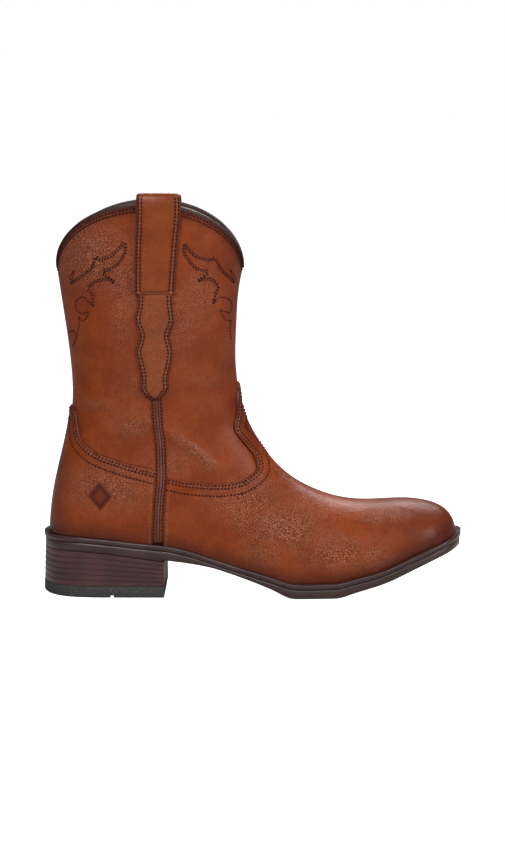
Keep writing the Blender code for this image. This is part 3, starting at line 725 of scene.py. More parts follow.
def stitch_mesh(line, normal, radius):
    """Points and faces of one stitch: a tube of six sides, pointed and sunk at its ends."""
    ahead = line[-1] - line[0]
    ahead /= np.linalg.norm(ahead)
    side = np.cross(ahead, normal)
    side /= np.linalg.norm(side)
    up = np.cross(side, ahead)
    turn = np.arange(THREAD_SIDES) * 2 * math.pi / THREAD_SIDES
    rings = []
    for centre, lift, size in zip(line, (-0.75, 0.35, 0.35, -0.75), (0.45, 1.0, 1.0, 0.45)):
        middle = centre + up * radius * lift
        ring = middle + radius * size * (np.cos(turn)[:, None] * side + np.sin(turn)[:, None] * up)
        rings.append(ring)
    points = np.concatenate([*rings, [line[0] - up * radius], [line[-1] - up * radius]])
    faces = grid_faces(len(rings), THREAD_SIDES, ring=True).tolist()
    tip, last_ring = len(rings) * THREAD_SIDES, (len(rings) - 1) * THREAD_SIDES
    for j in range(THREAD_SIDES):
        k = (j + 1) % THREAD_SIDES
        faces += [(tip, k, j), (tip + 1, last_ring + j, last_ring + k)]
    return points, faces


def make_stitches(group):
    """Joins a group's stitches into one piece."""
    points, faces, start = [], [], 0
    for owner, line, normal, radius in STITCHES:
        if owner != group:
            continue
        here, cells = stitch_mesh(line, normal, radius)
        points.append(here)
        faces += [tuple(v + start for v in cell) for cell in cells]
        start += len(here)
    made = new_object("stitches_" + group, np.concatenate(points), faces, [THREAD])
    made.data.shade_smooth()


def beside(path, normals, shift):
    """A path moved sideways over its surface."""
    ahead = np.gradient(path, axis=0)
    side = np.cross(normals, ahead)
    side /= np.linalg.norm(side, axis=1, keepdims=True)
    return path + side * shift


# Reliefs: how far each layer's outer face stands off the skin

COUNTER_OR_VAMP = OVERLAY_GAP + OVERLAY


def lump(points, centre, reach):
    """A soft round field about a place, 1 in its middle."""
    away = (points - np.array(centre) * MM) / (np.array(reach) * MM)
    return np.exp(-np.sum(away**2, axis=-1))


# Creases in the side view, in millimetres: their ends, half width, and height or, below zero, depth
CREASE_COLUMNS = ("x0", "z0", "x1", "z1", "width", "depth")
SHAFT_CREASES = (
    (40, 116, 66, 92, 5.0, -0.9),
    (46, 121, 84, 90, 3.6, 1.3),
    (-16, 131, 6, 132, 3.0, -0.8),
    (-14, 137, 12, 140, 4.5, 0.6),
    (10, 118, 36, 122, 5.0, 0.6),
    (60, 146, 92, 138, 6.0, -0.6),
    (56, 158, 88, 153, 6.0, 0.5),
    (-12, 158, 16, 152, 6.0, -0.4),
)
FOOT_CREASES = (
    (116, 56, 150, 34, 6.0, 0.35),
    (130, 56, 160, 36, 5.0, -0.4),
    (146, 52, 174, 34, 5.5, -0.3),
    (158, 50, 186, 36, 5.0, 0.35),
    (92, 60, 118, 34, 7.0, 0.6),
    (60, 62, 84, 44, 7.0, -0.4),
    (196, 52, 214, 36, 4.5, -0.5),
    (-26, 70, -10, 58, 6.0, -0.4),
)


def creases(points, rows):
    """Soft troughs and ridges along straight lines in the side view."""
    field = np.zeros(points.shape[:-1])
    for row in rows:
        crease = dict(zip(CREASE_COLUMNS, row))
        start = np.array([crease["x0"], crease["z0"]]) * MM
        run = np.array([crease["x1"], crease["z1"]]) * MM - start
        place = points[..., [0, 2]] - start
        share = place @ run / (run @ run)
        off = place - share[..., None] * run
        off = np.linalg.norm(off, axis=-1)
        beyond = np.maximum(np.abs(share - 0.5) - 0.25, 0)
        field += crease["depth"] * MM * bell(off, crease["width"] * MM) * bell(beyond, 0.22)
    return field


def burnish(points):
    """How dark the leather is burnished: towards the welt, the toe, the heel and the throat."""
    x, z = points[..., 0], points[..., 2]
    above = z - sole_top(x)
    low = bell(np.maximum(above, 0), 9 * MM) * 0.75
    toe = np.clip((x - 195 * MM) / (50 * MM), 0, 1) * 0.6
    heel = np.clip((-18 * MM - x) / (22 * MM), 0, 1) * 0.45
    throat = np.clip((x - 84 * MM) / (20 * MM), 0, 1) * np.clip((z - 92 * MM) / (30 * MM), 0, 1) * 0.55
    return np.clip(low + toe + heel + throat, 0, 0.9)


# Patches of pebbled grain and of painted highlight, alike on both sides: middle and reach in millimetres,
# and strength
GRAIN_AND_HIGHLIGHT_PATCHES = (
    ((-2, -40, 243), (26, 60, 24), 1.0),
    ((20, -40, 228), (16, 60, 26), 0.7),
    ((72, -40, 215), (14, 60, 24), 0.6),
    ((17, -40, 202), (9, 60, 32), 0.55),
    ((60, -40, 198), (10, 60, 28), 0.6),
    ((28, -40, 150), (20, 60, 20), 0.35),
    ((26, -40, 128), (22, 60, 9), 0.5),
    ((203, -20, 57), (18, 60, 5), 0.5),
    ((6, -36, 80), (30, 60, 17), 0.9),
    ((50, -36, 96), (26, 60, 14), 0.5),
    ((102, -40, 70), (26, 60, 15), 0.9),
    ((132, -44, 52), (24, 60, 16), 1.0),
    ((166, -46, 33), (26, 60, 11), 0.9),
    ((120, -40, 34), (22, 60, 12), 0.45),
    ((192, -40, 32), (13, 60, 9), 0.75),
    ((200, -36, 58), (12, 60, 7), 0.6),
)


def grain_and_highlight(points):
    """Where the pebbling shows and the painted highlight lies, alike on both sides of the boot."""
    folded = points.copy()
    folded[..., 1] = -np.abs(folded[..., 1])
    field = np.full(points.shape[:-1], 0.10)
    for centre, reach, strength in GRAIN_AND_HIGHLIGHT_PATCHES:
        field = np.maximum(field, strength * lump(folded, centre, reach))
    return field


def path_on(a, b, height):
    """A path over a layer, with its normals."""
    return raised(a, b, height + 0 * np.asarray(a)), skin_normal(a, b)


def flame_paths():
    """The flame's rows on the four panels of the shaft, each a (points, normals) pair."""
    found = []
    rear, front = on_photo(REAR_FLAME), on_photo(FRONT_FLAME)
    for side in (-1, 1):
        for strokes, inward in ((rear, side), (front, -side)):
            for i, stroke in enumerate(strokes):
                place = curve_through(stroke, 30)
                path, normals = path_on(place[:, 0], side * place[:, 1], 0.0)
                found.append((path, normals))
                if i < FLAME_DOUBLED:
                    found.append((beside(path, normals, inward * FLAME_DOUBLE), normals))
    return found


FLAMES = flame_paths()


def shaft_grid(rows, columns):
    """(a, b) grid of the whole upper, coarse in the foot that the overlays cover."""
    a = np.concatenate([
        np.linspace(0, 9, 12)[:-1], np.linspace(9, HEEL_SECTION, 50)[:-1],
        np.linspace(HEEL_SECTION, COLLAR_SECTION, rows),
    ])
    return a[:, None], np.linspace(-1, 1, columns)[None, :]


def collar_rows(side, depth):
    """A path round one half of the collar, so far below its edge."""
    b = np.linspace(0.012, 0.988, 150)
    edge, below = skin(COLLAR_SECTION, side * b), skin(COLLAR_SECTION - 0.05, side * b)
    per_section = np.linalg.norm(edge - below, axis=1) / 0.05
    return path_on(COLLAR_SECTION - depth / per_section, side * b, 0.0)


def both_faces(field):
    """A field over a grid, as values for the points of the shell made from it."""
    return np.tile(field.ravel(), 2)


def make_shaft():
    """The upper itself: leather outside, lining inside, creased and dented by its stitching."""
    a, b = shaft_grid(120, 260)
    base = raised(a, b, np.zeros((len(a), b.shape[1])))
    height = creases(base, SHAFT_CREASES)
    rows = [path for path, _ in FLAMES]
    groove = bell(nearest(base, np.concatenate(rows)), 0.7 * MM)
    collar = np.concatenate([collar_rows(side, depth)[0] for side in (-1, 1) for depth in COLLAR_ROWS])
    near = nearest(base, collar)
    height -= FLAME_DENT * groove + ROW_DENT * bell(near, ROW_SPREAD)
    outer = raised(a, b, height)
    inner = raised(a, b, np.full(height.shape, -UPPER_WALL))
    points, faces, rim = shell(outer, inner)
    half = (len(faces) - rim) // 2
    slots = np.zeros(len(faces))
    slots[half:2 * half] = 1
    # Painted highlight: paler pebble tops in the patches and along the crease ridges.
    fields = {
        "burnish": np.clip(burnish(points) + both_faces(0.55 * bell(near, 3.5 * MM)), 0, FULL),
        "grain_and_highlight": np.clip(grain_and_highlight(points) + both_faces(0.55 * np.clip(height / MM, 0, 1)), 0, 1),
    }
    piece("shaft_leather", points, faces, [SHAFT_LEATHER, LINING], "upper", slots, fields)


def vamp_limit(side):
    """How far back the vamp reaches, in sections, at each b of one side."""
    edge = seam_edge(SEAM_HALF, VAMP_TOP[0][1] - 0.05)
    a, b = on_curve(edge + list(VAMP_TOP), 260, side)
    foot = on_side(along(edge[0][0]), sole_top(along(edge[0][0])) + GAP, side)[0][0]
    b = np.maximum.accumulate(np.append(b[::-1], 1.0)) + np.arange(len(b) + 1) * 1e-7
    return b, np.append(a[::-1], foot)


def edge_round(away, thickness):
    """Height lost near a cut edge, so that it looks skived and turned."""
    return thickness * (1 - np.sqrt(1 - np.clip(1 - away / thickness, 0, 1) ** 2))


def top_rows(curve, side, shifts, inward):
    """Stitch paths below a side-view edge, moved in along the surface."""
    a, b = on_curve(curve, 220, side)
    path, normals = path_on(a, side * b, COUNTER_OR_VAMP)
    return [settled(beside(path, normals, inward * side * shift), normals, side) for shift in shifts]


def settled(path, normals, side):
    """A shifted path laid back on its layer, as far as it stays on its own side of the boot."""
    beyond = np.flatnonzero(path[:, 1] * side < RIDGE_CLEAR)
    count = beyond[0] if len(beyond) else len(path)
    place = path[:count] - normals[:count] * COUNTER_OR_VAMP
    a, b = on_side(place[:, 0], place[:, 2], side)
    return path_on(a, side * b, COUNTER_OR_VAMP)


def make_vamp():
    b = np.linspace(-1, 1, 281)
    limits = {side: vamp_limit(side) for side in (-1, 1)}
    reach = np.array([np.interp(abs(v), *limits[-1 if v < 0 else 1]) for v in b])
    share = np.linspace(0, 1, 160)[:, None] ** 0.85
    even = np.convolve(np.pad(reach, 24, mode="edge"), np.ones(49) / 49, mode="valid")
    a = share * even + share**14 * (reach - even)
    b = np.broadcast_to(b[None, :], a.shape)
    base = raised(a, b, np.zeros(a.shape))
    edge = base[-1]
    away = nearest(base, edge)
    lines = np.concatenate([row for side in (-1, 1) for row, _ in VAMP_ROWS[side]])
    near = nearest(base, lines)
    relief = creases(base, FOOT_CREASES) * np.clip(away / (12 * MM), 0, 1)
    finish_overlay("vamp_leather", a, b, relief, away, near, "vamp")


def finish_overlay(name, a, b, relief, away, near, node):
    """Makes the vamp or the counter from its relief and how far its edge and stitches are."""
    height = COUNTER_OR_VAMP + relief - OVERLAY_DENT * bell(near, ROW_SPREAD)
    height += EDGE_ROLL * bell(away - EDGE_ROLL_AT, ROW_SPREAD) - edge_round(away, SKIVE)
    outer = raised(a, b, height)
    inner = raised(a, b, np.full(height.shape, -0.2 * MM))
    floor_line = sole_top(outer[..., 0]) + 0.1 * MM
    for face in (outer, inner):
        face[..., 2] = np.maximum(face[..., 2], floor_line)
    points, faces, _ = shell(outer, inner)
    dark = 0.85 * bell(away, 1.0 * MM) + 0.45 * bell(near, 1.0 * MM)
    # Painted highlight: paler on the rolled ridge inside the cut edge and along the crease ridges.
    light = 0.6 * bell(away - EDGE_ROLL_AT, 1.0 * MM)
    light += 0.5 * np.clip(creases(outer, FOOT_CREASES) / MM, 0, 1)
    fields = {
        "burnish": np.clip(burnish(points) + both_faces(dark), 0, FULL),
        "grain_and_highlight": np.clip(grain_and_highlight(points) + both_faces(light), 0, 1),
    }
    if node == "counter":
        fields["burnish"] = np.clip(fields["burnish"] - 1.3 * pressed_mark(points) / MM, 0, FULL)
        fields["grain_and_highlight"] *= np.clip((mark_size(points) - 1.0) / 0.3, 0.1, 1)
    piece(name, points, faces, [FOOT_LEATHER], node, fields=fields)


def counter_half(side):
    """(a, b) grid of one half of the counter, from its front and top edges to the back line."""
    edge = seam_edge(-SEAM_HALF, COUNTER_TOP[0][1] - 0.05)
    edge_a, edge_b = on_curve(edge + list(COUNTER_TOP), 260, side)
    foot = on_side(along(edge[0][0]), sole_top(along(edge[0][0])) + GAP, side)[0][0]
    edge_a, edge_b = np.append(foot, edge_a), np.append(1.0, edge_b)
    edge_a = np.maximum.accumulate(edge_a)
    a = foot + (edge_a[-1] - foot) * np.linspace(0, 1, 170)
    steps = np.arange(len(edge_a)) * 1e-7
    start = np.interp(a, edge_a + steps, edge_b)
    start[-1] = 1.0
    share = np.linspace(0, 1, 100)[None, :]
    b = start[:, None] + (1 - start)[:, None] * share
    return np.broadcast_to(a[:, None], b.shape), side * b


LOZENGE = (0, 73)  # middle of the plain pressed mark, in millimetres in the side view
LOZENGE_HALF = (8.0, 10.0)


def mark_size(points):
    """How far out from the middle of the pressed mark each point lies, 1 on its outline."""
    x = np.abs(points[..., 0] / MM - LOZENGE[0]) / LOZENGE_HALF[0]
    z = np.abs(points[..., 2] / MM - LOZENGE[1]) / LOZENGE_HALF[1]
    return x + z


def pressed_mark(points):
    """A plain lozenge pressed into each side of the counter."""
    size = mark_size(points)
    pressed = 1 / (1 + np.exp((size - 1.0) / 0.05))
    middle = 1 / (1 + np.exp((size - 0.58) / 0.06))
    return MM * (0.55 * middle - 0.85 * pressed + 0.2 * bell(size - 1.2, 0.14))


def make_counter():
    halves = [counter_half(side) for side in (-1, 1)]
    a = np.concatenate([halves[0][0], halves[1][0][:, ::-1][:, 1:]], axis=1)
    b = np.concatenate([halves[0][1], halves[1][1][:, ::-1][:, 1:]], axis=1)
    base = raised(a, b, np.zeros(a.shape))
    columns = a.shape[1]
    edge = np.concatenate([base[:, 0], base[:, columns - 1]])
    away = nearest(base, edge)
    lines = np.concatenate([row for side in (-1, 1) for row, _ in COUNTER_ROWS[side]])
    near = nearest(base, lines)
    relief = creases(base, FOOT_CREASES) + pressed_mark(base)
    finish_overlay("counter_leather", a, b, relief, away, near, "counter")


def strip_edges(rows, z):
    strip = table(TAB_COLUMNS, rows)
    order = np.argsort(strip["z"])
    return [smooth(z, strip["z"][order], strip[name][order]) for name in ("rear", "front")]


def strip_grid(rows, count, across, side):
    """(a, b) grid of a strip given by its height and its rear and front edges."""
    heights = [row[0] for row in rows]
    z = np.linspace(min(heights), max(heights), count)
    rear, front = strip_edges(rows, z)
    t = np.linspace(0, 1, across)
    x = along(rear[:, None] + (front - rear)[:, None] * t)
    a, b = on_side(x.ravel(), np.repeat(z * SHAFT_HEIGHT, across), side)
    return a.reshape(count, across), side * b.reshape(count, across)


def edge_paths(grid_points, normals, shifts):
    """Paths inside a strip's two long edges, with their normals."""
    found = []
    for column, inward in ((0, 1), (-1, -1)):
        across = grid_points[:, column + inward] - grid_points[:, column]
        across /= np.linalg.norm(across, axis=1, keepdims=True)
        for shift in shifts:
            found.append((grid_points[:, column] + across * shift, normals[:, column]))
    return found


def make_side_tab(side, name):
    a, b = strip_grid(TAB_ROWS, 70, 23, side)
    top = GAP + OVERLAY
    base = raised(a, b, np.full(a.shape, top))
    normals = skin_normal(a, b)
    rows = edge_paths(base, normals, TAB_SHIFTS)
    for path, row_normals in rows:
        stitch_row(path[1:-4], row_normals[1:-4], "tabs")
    border = np.concatenate([base[:, 0], base[:, -1], base[0]])
    away = nearest(base, border)
    near = nearest(base, np.concatenate([path for path, _ in rows]))
    height = top - edge_round(away, 1.1 * MM) - ROW_DENT * bell(near, 0.8 * MM)
    height += TAB_CROWN * np.clip(away / (9 * MM), 0, 1)
    outer, inner = raised(a, b, height), raised(a, b, np.full(a.shape, 0.1 * MM))
    points, faces, _ = shell(outer, inner)
    # Pebbling with a painted highlight over the whole tab, stronger on the ridge inside its edges.
    fields = {
        "burnish": both_faces(0.75 * bell(away, 1.0 * MM) + 0.4 * bell(near, 1.0 * MM)),
        "grain_and_highlight": both_faces(0.32 + 0.4 * bell(away - 2.8 * MM, ROW_SPREAD)),
    }
    piece("tab_" + name, points, faces, [TAB_LEATHER], "side_tab_" + name, fields=fields)


def strap_surface(side, rows, across):
    """The middle line of the pull strap's inner face: up outside, over and down inside."""
    shift = 0 if side < 0 else STRAP_SHIFT
    placed = [(z, rear + shift, front + shift) for z, rear, front in STRAP_ROWS]
    a, b = strip_grid(placed, rows, across, side)
    stand = np.linspace(GAP + 0.9 * MM, STRAP_STAND_OFF, rows)[:, None, None]
    outer = skin(a, b) + skin_normal(a, b) * stand
    edge, normal = outer[-1], skin_normal(a[-1], b[-1])
    inner_edge = edge - normal * (2 * STRAP_STAND_OFF + UPPER_WALL)
    middle, reach = (edge + inner_edge) / 2, (edge - inner_edge) / 2
    turn = np.linspace(0, math.pi, 19)[1:-1, None, None]
    rise = STRAP_RISE if side < 0 else STRAP_RISE - 2.5 * MM
    over = middle + reach * np.cos(turn) + np.array([0, 0, rise]) * np.sin(turn)
    drop = np.linspace(0, STRAP_INSIDE, 18)[:, None, None]
    inner = inner_edge - np.array([0, 0, 1.0]) * drop
    return np.concatenate([outer, over, inner])


def grid_normals(grid, side):
    """Outward normals over a strip's grid."""
    along_rows = np.gradient(grid, axis=0)
    across = np.gradient(grid, axis=1)
    normal = np.cross(across, along_rows) * -side
    return normal / np.maximum(np.linalg.norm(normal, axis=-1, keepdims=True), 1e-12)


def make_pull_strap(side, name):
    base = strap_surface(side, 46, 21)
    normals = grid_normals(base, side)
    top = base + normals * STRAP_THICKNESS
    rows = edge_paths(top, normals, STRAP_SHIFTS)
    for path, row_normals in rows:
        stitch_row(path[1:52], row_normals[1:52], "straps")
    seam = top[1, 4:-4]
    border = np.concatenate([top[:, 0], top[:, -1]])
    away = nearest(top, border)
    near = nearest(top, np.concatenate([path for path, _ in rows]))
    height = STRAP_THICKNESS - edge_round(away, SKIVE) - ROW_DENT * bell(near, 0.8 * MM)
    height -= STRAP_SEAM * bell(nearest(top, seam), 0.8 * MM)
    outer = base + normals * height[..., None]
    points, faces, _ = shell(outer, base)
    dark = 0.5 * bell(away, 1.0 * MM) + 0.4 * bell(near, 1.0 * MM)
    dark += 0.9 * bell(nearest(top, seam), 0.7 * MM)
    # Painted highlight: stronger on the ridge inside the strap's edges.
    fields = {
        "burnish": both_faces(np.clip(dark, 0, FULL)),
        "grain_and_highlight": both_faces(0.10 + 0.5 * bell(away - 2.8 * MM, ROW_SPREAD)),
    }
    piece("strap_" + name, points, faces, [TAB_LEATHER], "pull_strap_" + name, fields=fields)


def make_side_seam(side, name):
    """The seam's strip: two folded leather edges and a cord between them, with painted shade as a dark line
    in the groove each side of the cord and a painted highlight as the cord's pale colour.
    """
    a, b = on_curve(SEAM, 130, side)
    place = curve_through(SEAM, 130)
    over = 1 / (1 + np.exp((place[:, 1] - 0.468) / 0.012))
    rise = 0.15 * MM + COUNTER_OR_VAMP * over
    path, normals = raised(a, side * b, rise), skin_normal(a, side * b)
    ahead = np.gradient(path, axis=0)
    across = np.cross(ahead, normals)
    across /= np.linalg.norm(across, axis=1, keepdims=True)
    profile = (
        (-4.0, -0.5), (-3.9, 0.35), (-3.5, 0.75), (-2.9, 0.55), (-2.3, 0.85), (-1.7, 1.15), (-1.25, 0.95),
        (-1.05, 0.25), (-0.95, 0.35), (-0.75, 0.95), (-0.4, 1.25), (0.0, 1.35),
    )
    profile += tuple((-x, z) for x, z in profile[-2::-1])
    grid = np.stack([path + across * x * MM + normals * z * MM for x, z in profile], 1)
    under = np.stack([path + across * x * MM - normals * 0.7 * MM for x, _ in profile], 1)
    points, faces, rim = shell(grid, under)
    columns = len(profile)
    column = np.tile(np.arange(columns - 1), len(path) - 1)
    # The cord's pale colour is a painted highlight, and the dark strips in the grooves beside it are
    # painted shade.
    cord = (column >= 8) & (column <= columns - 10)
    groove_shade = (column >= 6) & (column <= columns - 8)
    slot = np.where(cord, 1, np.where(groove_shade, 2, 0))
    slots = np.concatenate([slot, 0 * slot, np.zeros(rim)])
    fields = {"burnish": np.full(len(points), 0.22), "grain_and_highlight": np.full(len(points), 0.2)}
    materials = [TAB_LEATHER, CORD_HIGHLIGHT, GROOVE_SHADE]
    piece("side_seam_" + name, points, faces, materials, "piping_" + name, slots, fields)
    for shift in (-2.95, 2.95):
        stitch_row(path + across * shift * MM + normals * 0.72 * MM, normals, "seams")


def make_binding():
    """The dark turned edge round the collar."""
    b = np.linspace(-1, 1, 401)[:-1]
    top = skin(COLLAR_SECTION, b)
    normal = skin_normal(COLLAR_SECTION, b)
    on = top - skin(COLLAR_SECTION - 0.05, b)
    on /= np.linalg.norm(on, axis=-1, keepdims=True)
    turn = np.linspace(0, math.pi, 9)
    middle = -UPPER_WALL / 2
    half = UPPER_WALL / 2 + BINDING_THICK
    profile = [(middle + half, -BINDING_LEG), (middle + half, -0.5 * MM)]
    profile += [(middle + half * math.cos(t), 0.2 * MM + half * 0.75 * math.sin(t)) for t in turn]
    profile += [(middle - half, -0.5 * MM), (middle - half, -BINDING_LEG)]
    tucked = UPPER_WALL / 2 - 0.1 * MM
    profile += [(middle - tucked, -BINDING_LEG), (middle + tucked, -BINDING_LEG)]
    grid = np.stack([top + normal * out + on * rise for out, rise in profile], 1)
    rows, columns = grid.shape[:2]
    closed = np.concatenate([grid, grid[:1]])
    faces = grid_faces(rows + 1, columns, ring=True)
    piece("collar_edge", closed.reshape(-1, 3), faces, [BOUND], "collar_binding")


# Sole and heel

def feather_line(steps):
    """Plan of the feather line, lateral and medial, paired from the heel point to the toe tip."""
    a = np.linspace(HEEL_SECTION, 0, steps)
    sides = []
    for side in (-1, 1):
        foot = skin(a, side)[:, :2]
        toe = skin(0, side * np.linspace(1, 0, 24)[1:])[:, :2]
        sides.append(np.concatenate([foot, toe]))
    return sides


def offset_plan(line, distance, side):
    """A half outline moved outwards in plan."""
    ahead = np.gradient(line, axis=0)
    ahead[0] = (0, side)
    ahead[-1] = (0, -side)
    normal = np.stack([ahead[:, 1], -ahead[:, 0]], axis=-1)
    normal *= -side / np.linalg.norm(normal, axis=-1, keepdims=True)
    return line + normal * np.asarray(distance).reshape(-1, 1)


def sole_outline(inset=0.0, steps=130):
    """Plan of the welt, lateral and medial, less an inset."""
    return [
        offset_plan(line, WELT_MARGIN * sole_value(line[:, 0], "margin") - inset, side)
        for line, side in zip(feather_line(steps), (-1, 1))
    ]


def slab(name, outline, top, bottom, corner, cells, materials, node):
    """A solid between two heights, with its long edges rounded off by a corner size."""
    lateral, medial = outline
    t = np.linspace(0, 1, cells + 1)
    plan = lateral[:, None] + (medial - lateral)[:, None] * t[None, :, None]
    across = np.broadcast_to(2 * t - 1, plan.shape[:2])
    upper = np.dstack([plan, top(plan[..., 0], across)])
    lower = np.dstack([plan, bottom(plan[..., 0], across)])
    inward = (medial - lateral)
    inward /= np.maximum(np.linalg.norm(inward, axis=1, keepdims=True), 1e-9)
    width = np.linalg.norm(medial - lateral, axis=1, keepdims=True)
    shift = np.minimum(corner, width * 0.2) * inward
    upper[:, 0, :2] += shift
    upper[:, -1, :2] -= shift
    lower[:, 0, :2] += shift
    lower[:, -1, :2] -= shift
    high_l = np.column_stack([lateral, upper[:, 0, 2] - corner])
    low_l = np.column_stack([lateral, lower[:, 0, 2] + corner])
    high_m = np.column_stack([medial, upper[:, -1, 2] - corner])
    low_m = np.column_stack([medial, lower[:, -1, 2] + corner])
    grid = np.concatenate([
        upper, high_m[:, None], low_m[:, None], lower[:, ::-1], low_l[:, None], high_l[:, None],
    ], axis=1)
    rows, columns = grid.shape[:2]
    faces = grid_faces(rows, columns, ring=True)
    column = np.tile(np.arange(columns), rows - 1)
    under = (column >= cells + 3) & (column < 2 * cells + 3)
    slots = np.where(under, len(materials) - 1, 0)
    piece(name, grid.reshape(-1, 3), faces, materials, node, slots)


def camber(across):
    """How far the sole's edges lift from the ground."""
    return SOLE_CAMBER * np.clip((np.abs(across) - 0.4) / 0.6, 0, 1) ** 2


def make_sole():
    slab(
        "welt_leather", sole_outline(), lambda x, v: sole_top(x), lambda x, v: sole_top(x) - WELT_THICKNESS,
        0.7 * MM, 12, [WELT_EDGE], "welt",
    )
    slab(
        "sole_leather", sole_outline(OUTSOLE_STEP), lambda x, v: sole_top(x) - WELT_THICKNESS - 0.1 * MM,
        lambda x, v: sole_bottom(x) + camber(v) * (x > HEEL_LENGTH / 2),
        0.9 * MM, 16, [SOLE_EDGE, SOLE_UNDER], "outsole",
    )
    inset = UPPER_WALL + INSOLE_CLEARANCE
    outline = [offset_plan(line, 0 * line[:, 0] - inset, side)
               for line, side in zip(feather_line(130), (-1, 1))]
    slab(
        "sock", outline, lambda x, v: sole_top(x) + INSOLE_LIFT + INSOLE_THICKNESS,
        lambda x, v: sole_top(x) + INSOLE_LIFT, 0.6 * MM, 10, [LINING], "insole",
    )


def heel_plan(count, grow):
    """D-shaped plan of the heel, cut straight across at the breast."""
    breast = HEEL_POINT + HEEL_LENGTH - HEEL_OVERHANG
    lateral, medial = sole_outline(OUTSOLE_STEP - grow, 130)
    rows = []
    for line in (lateral, medial):
        x = np.linspace(0, 1, count) ** 1.9 * (breast - line[0, 0]) + line[0, 0]
        rows.append(np.stack([x, np.interp(x, line[:, 0], line[:, 1])], axis=-1))
    rows[0][0] = rows[1][0] = (rows[0][0] + rows[1][0]) / 2
    return np.concatenate([rows[0][::-1], rows[1][1:]])


def capped(rings):
    """Points and faces of a stack of rings, closed at both ends across the heel."""
    rows, columns = rings.shape[:2]
    points = rings.reshape(-1, 3)
    faces = grid_faces(rows, columns, ring=True).tolist()
    for start, turn in ((0, 1), ((rows - 1) * columns, -1)):
        for i in range((columns - 1) // 2):
            j = columns - 1 - i
            cell = [start + i, start + i + 1, start + j - 1, start + j][::turn]
            faces.append(list(dict.fromkeys(cell)))
    return points, faces


def heel_rings(levels):
    """Rings of the stack at shares of its height, each grown from the heel's plan."""
    rings = []
    for share, grow in levels:
        plan = heel_plan(45, grow)
        seat = sole_bottom(plan[:, 0]) - 0.1 * MM
        low = CAP_HEIGHT + 0.1 * MM
        rings.append(np.column_stack([plan, low + (seat - low) * share]))
    return np.array(rings)


def make_heel():
    notch = 0.07 / LIFTS
    levels = []
    for i in range(LIFTS):
        low, high = i / LIFTS, (i + 1) / LIFTS
        grow = CAP_FLARE * (1 - low) * 0.6
        levels += [
            (low, grow - 0.5 * LIFT_GROOVE), (low + notch, grow - 0.1 * MM), (low + 3 * notch, grow),
            (high - 3 * notch, grow), (high - notch, grow - 0.1 * MM),
        ]
    levels.append((1.0, -0.3 * MM))
    points, faces = capped(heel_rings(levels))
    piece("heel_lifts", points, faces, [STACK], "heel_stack", corner=38)
    profile = (
        (0.0, CAP_FLARE - 0.9 * MM), (0.9 * MM, CAP_FLARE), (7.4 * MM, CAP_FLARE * 0.8),
        (CAP_HEIGHT, 0.5 * MM),
    )
    rings = []
    for z, grow in profile:
        plan = heel_plan(45, grow)
        rings.append(np.column_stack([plan, 0 * plan[:, 0] + z]))
    points, faces = capped(np.array(rings))
    cap = piece("heel_cap_rubber", points, faces, [RUBBER], "heel_cap", corner=38)
    cut_tread(cap)


def cut_tread(cap):
    """Cuts a narrow groove across the cap's under side."""
    place = HEEL_POINT + HEEL_LENGTH * TREAD_PLACE
    cutter = bmesh.new()
    bmesh.ops.create_cube(cutter, size=1.0)
    for vertex in cutter.verts:
        vertex.co.x = place + vertex.co.x * TREAD_WIDTH
        vertex.co.y *= 2 * HEEL_LENGTH
        vertex.co.z *= 2 * CAP_GROOVE
    mesh = bpy.data.meshes.new("groove")
    cutter.to_mesh(mesh)
    cutter.free()
    tool = bpy.data.objects.new("groove", mesh)
    bpy.context.scene.collection.objects.link(tool)
    cap.modifiers.new("groove", "BOOLEAN").object = tool
    bpy.context.view_layer.update()
    shape = bpy.data.meshes.new_from_object(cap.evaluated_get(bpy.context.evaluated_depsgraph_get()))
    cap.modifiers.clear()
    cap.data = shape
    bpy.data.objects.remove(tool, do_unlink=True)


# Camera and lights

SENSOR = 36.0
FLOOR_HALF = 6.0
AMBIENT = 0.08
# Lights: name, place, aim, size and watts
LIGHTS = (
    ("key", (-0.25, -1.3, 1.35), (0.08, 0, 0.12), (0.9, 0.6), 22),
    ("side", (1.25, -0.9, 0.75), (0.10, 0, 0.10), (0.5, 0.9), 10),
    ("back", (0.40, 0.85, 1.0), (0.12, 0, 0.10), (0.9, 0.5), 12),
)


def make_camera():
    data = bpy.data.cameras.new("photo_camera")
    data.sensor_fit = "VERTICAL"
    data.sensor_height = SENSOR
    data.lens = FOCAL_ROWS / PICTURE_ROWS * SENSOR
    data.clip_end = 30.0
    camera = bpy.data.objects.new("photo_camera", data)
    camera.location = CAMERA_PLACE
    camera.rotation_euler = (math.radians(90 - CAMERA_PITCH), 0, 0)
    bpy.context.scene.collection.objects.link(camera)
    bpy.context.scene.camera = camera


def make_light(name, place, aim, size, power):
    data = bpy.data.lights.new(name, "AREA")
    data.shape = "RECTANGLE"
    data.size, data.size_y = size
    data.energy = power
    light = bpy.data.objects.new(name, data)
    light.location = place
    ahead = Vector(aim) - Vector(place)
    light.rotation_euler = ahead.to_track_quat("-Z", "Y").to_euler()
    bpy.context.scene.collection.objects.link(light)


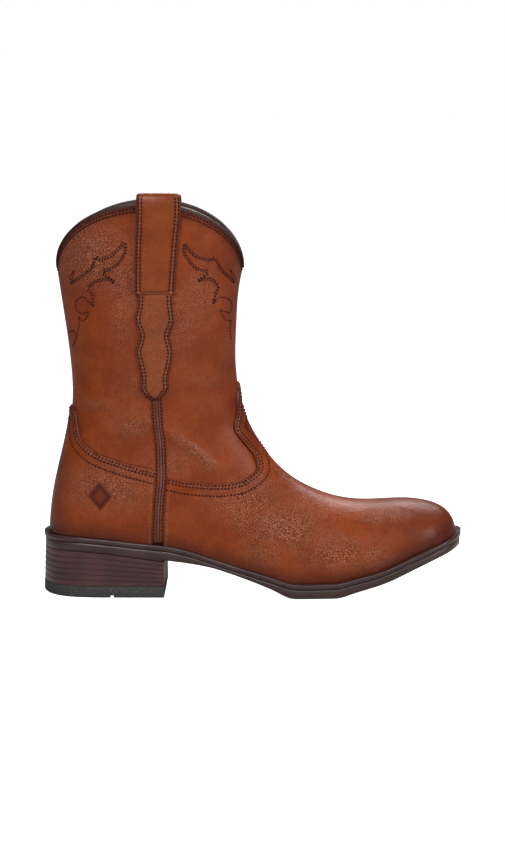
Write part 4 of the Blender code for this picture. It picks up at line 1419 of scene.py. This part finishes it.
def make_floor():
    """A pale floor that is plain white to the camera, as in the photo."""
    half = FLOOR_HALF
    corners = [(-half, -half, 0), (half, -half, 0), (half, half, 0), (-half, half, 0)]
    mesh = bpy.data.meshes.new("floor")
    mesh.from_pydata(corners, [], [(0, 1, 2, 3)])
    paint = Look("pale_floor", (0.55, 0.55, 0.55), 0.9)
    paint.shader.inputs["Emission Color"].default_value = (1, 1, 1, 1)
    seen = paint.node("ShaderNodeLightPath").outputs["Is Camera Ray"]
    paint.set(paint.shader, "Emission Strength", paint.span(seen, 0.0, 1.0, 0.05, 1.20))
    mesh.materials.append(paint.material)
    floor = bpy.data.objects.new("floor", mesh)
    bpy.context.scene.collection.objects.link(floor)


def make_studio():
    """A white room that lights the boot less than it shows."""
    world = bpy.data.worlds.new("studio")
    world.use_nodes = True
    nodes, links = world.node_tree.nodes, world.node_tree.links
    background = nodes["Background"]
    background.inputs["Color"].default_value = (1, 1, 1, 1)
    seen = nodes.new("ShaderNodeLightPath").outputs["Is Camera Ray"]
    strength = nodes.new("ShaderNodeMapRange")
    strength.inputs["To Min"].default_value = AMBIENT
    strength.inputs["To Max"].default_value = 1.0
    links.new(seen, strength.inputs["Value"])
    links.new(strength.outputs["Result"], background.inputs["Strength"])
    bpy.context.scene.world = world
    make_floor()
    for row in LIGHTS:
        make_light(*row)
    bpy.context.scene.view_settings.view_transform = "Standard"


# The boot

make_camera()
make_studio()

VAMP_ROWS = {side: top_rows(VAMP_TOP, side, ROW_SHIFTS, 1) for side in (-1, 1)}
COUNTER_ROWS = {side: top_rows(COUNTER_TOP, side, ROW_SHIFTS, -1) for side in (-1, 1)}

make_shaft()
make_vamp()
make_counter()
make_binding()
make_sole()
make_heel()
for side, name in ((-1, "lateral"), (1, "medial")):
    make_side_tab(side, name)
    make_pull_strap(side, name)
    make_side_seam(side, name)
    for path, normals in VAMP_ROWS[side] + COUNTER_ROWS[side]:
        stitch_row(path, normals, "foot")
    for depth in COLLAR_ROWS:
        stitch_row(*collar_rows(side, depth), "shaft")
for path, normals in FLAMES:
    stitch_row(path, normals, "flame", FLAME_PITCH, FLAME_LENGTH, FLAME_RADIUS)
for group, slot in STITCH_GROUPS:
    make_stitches(group)
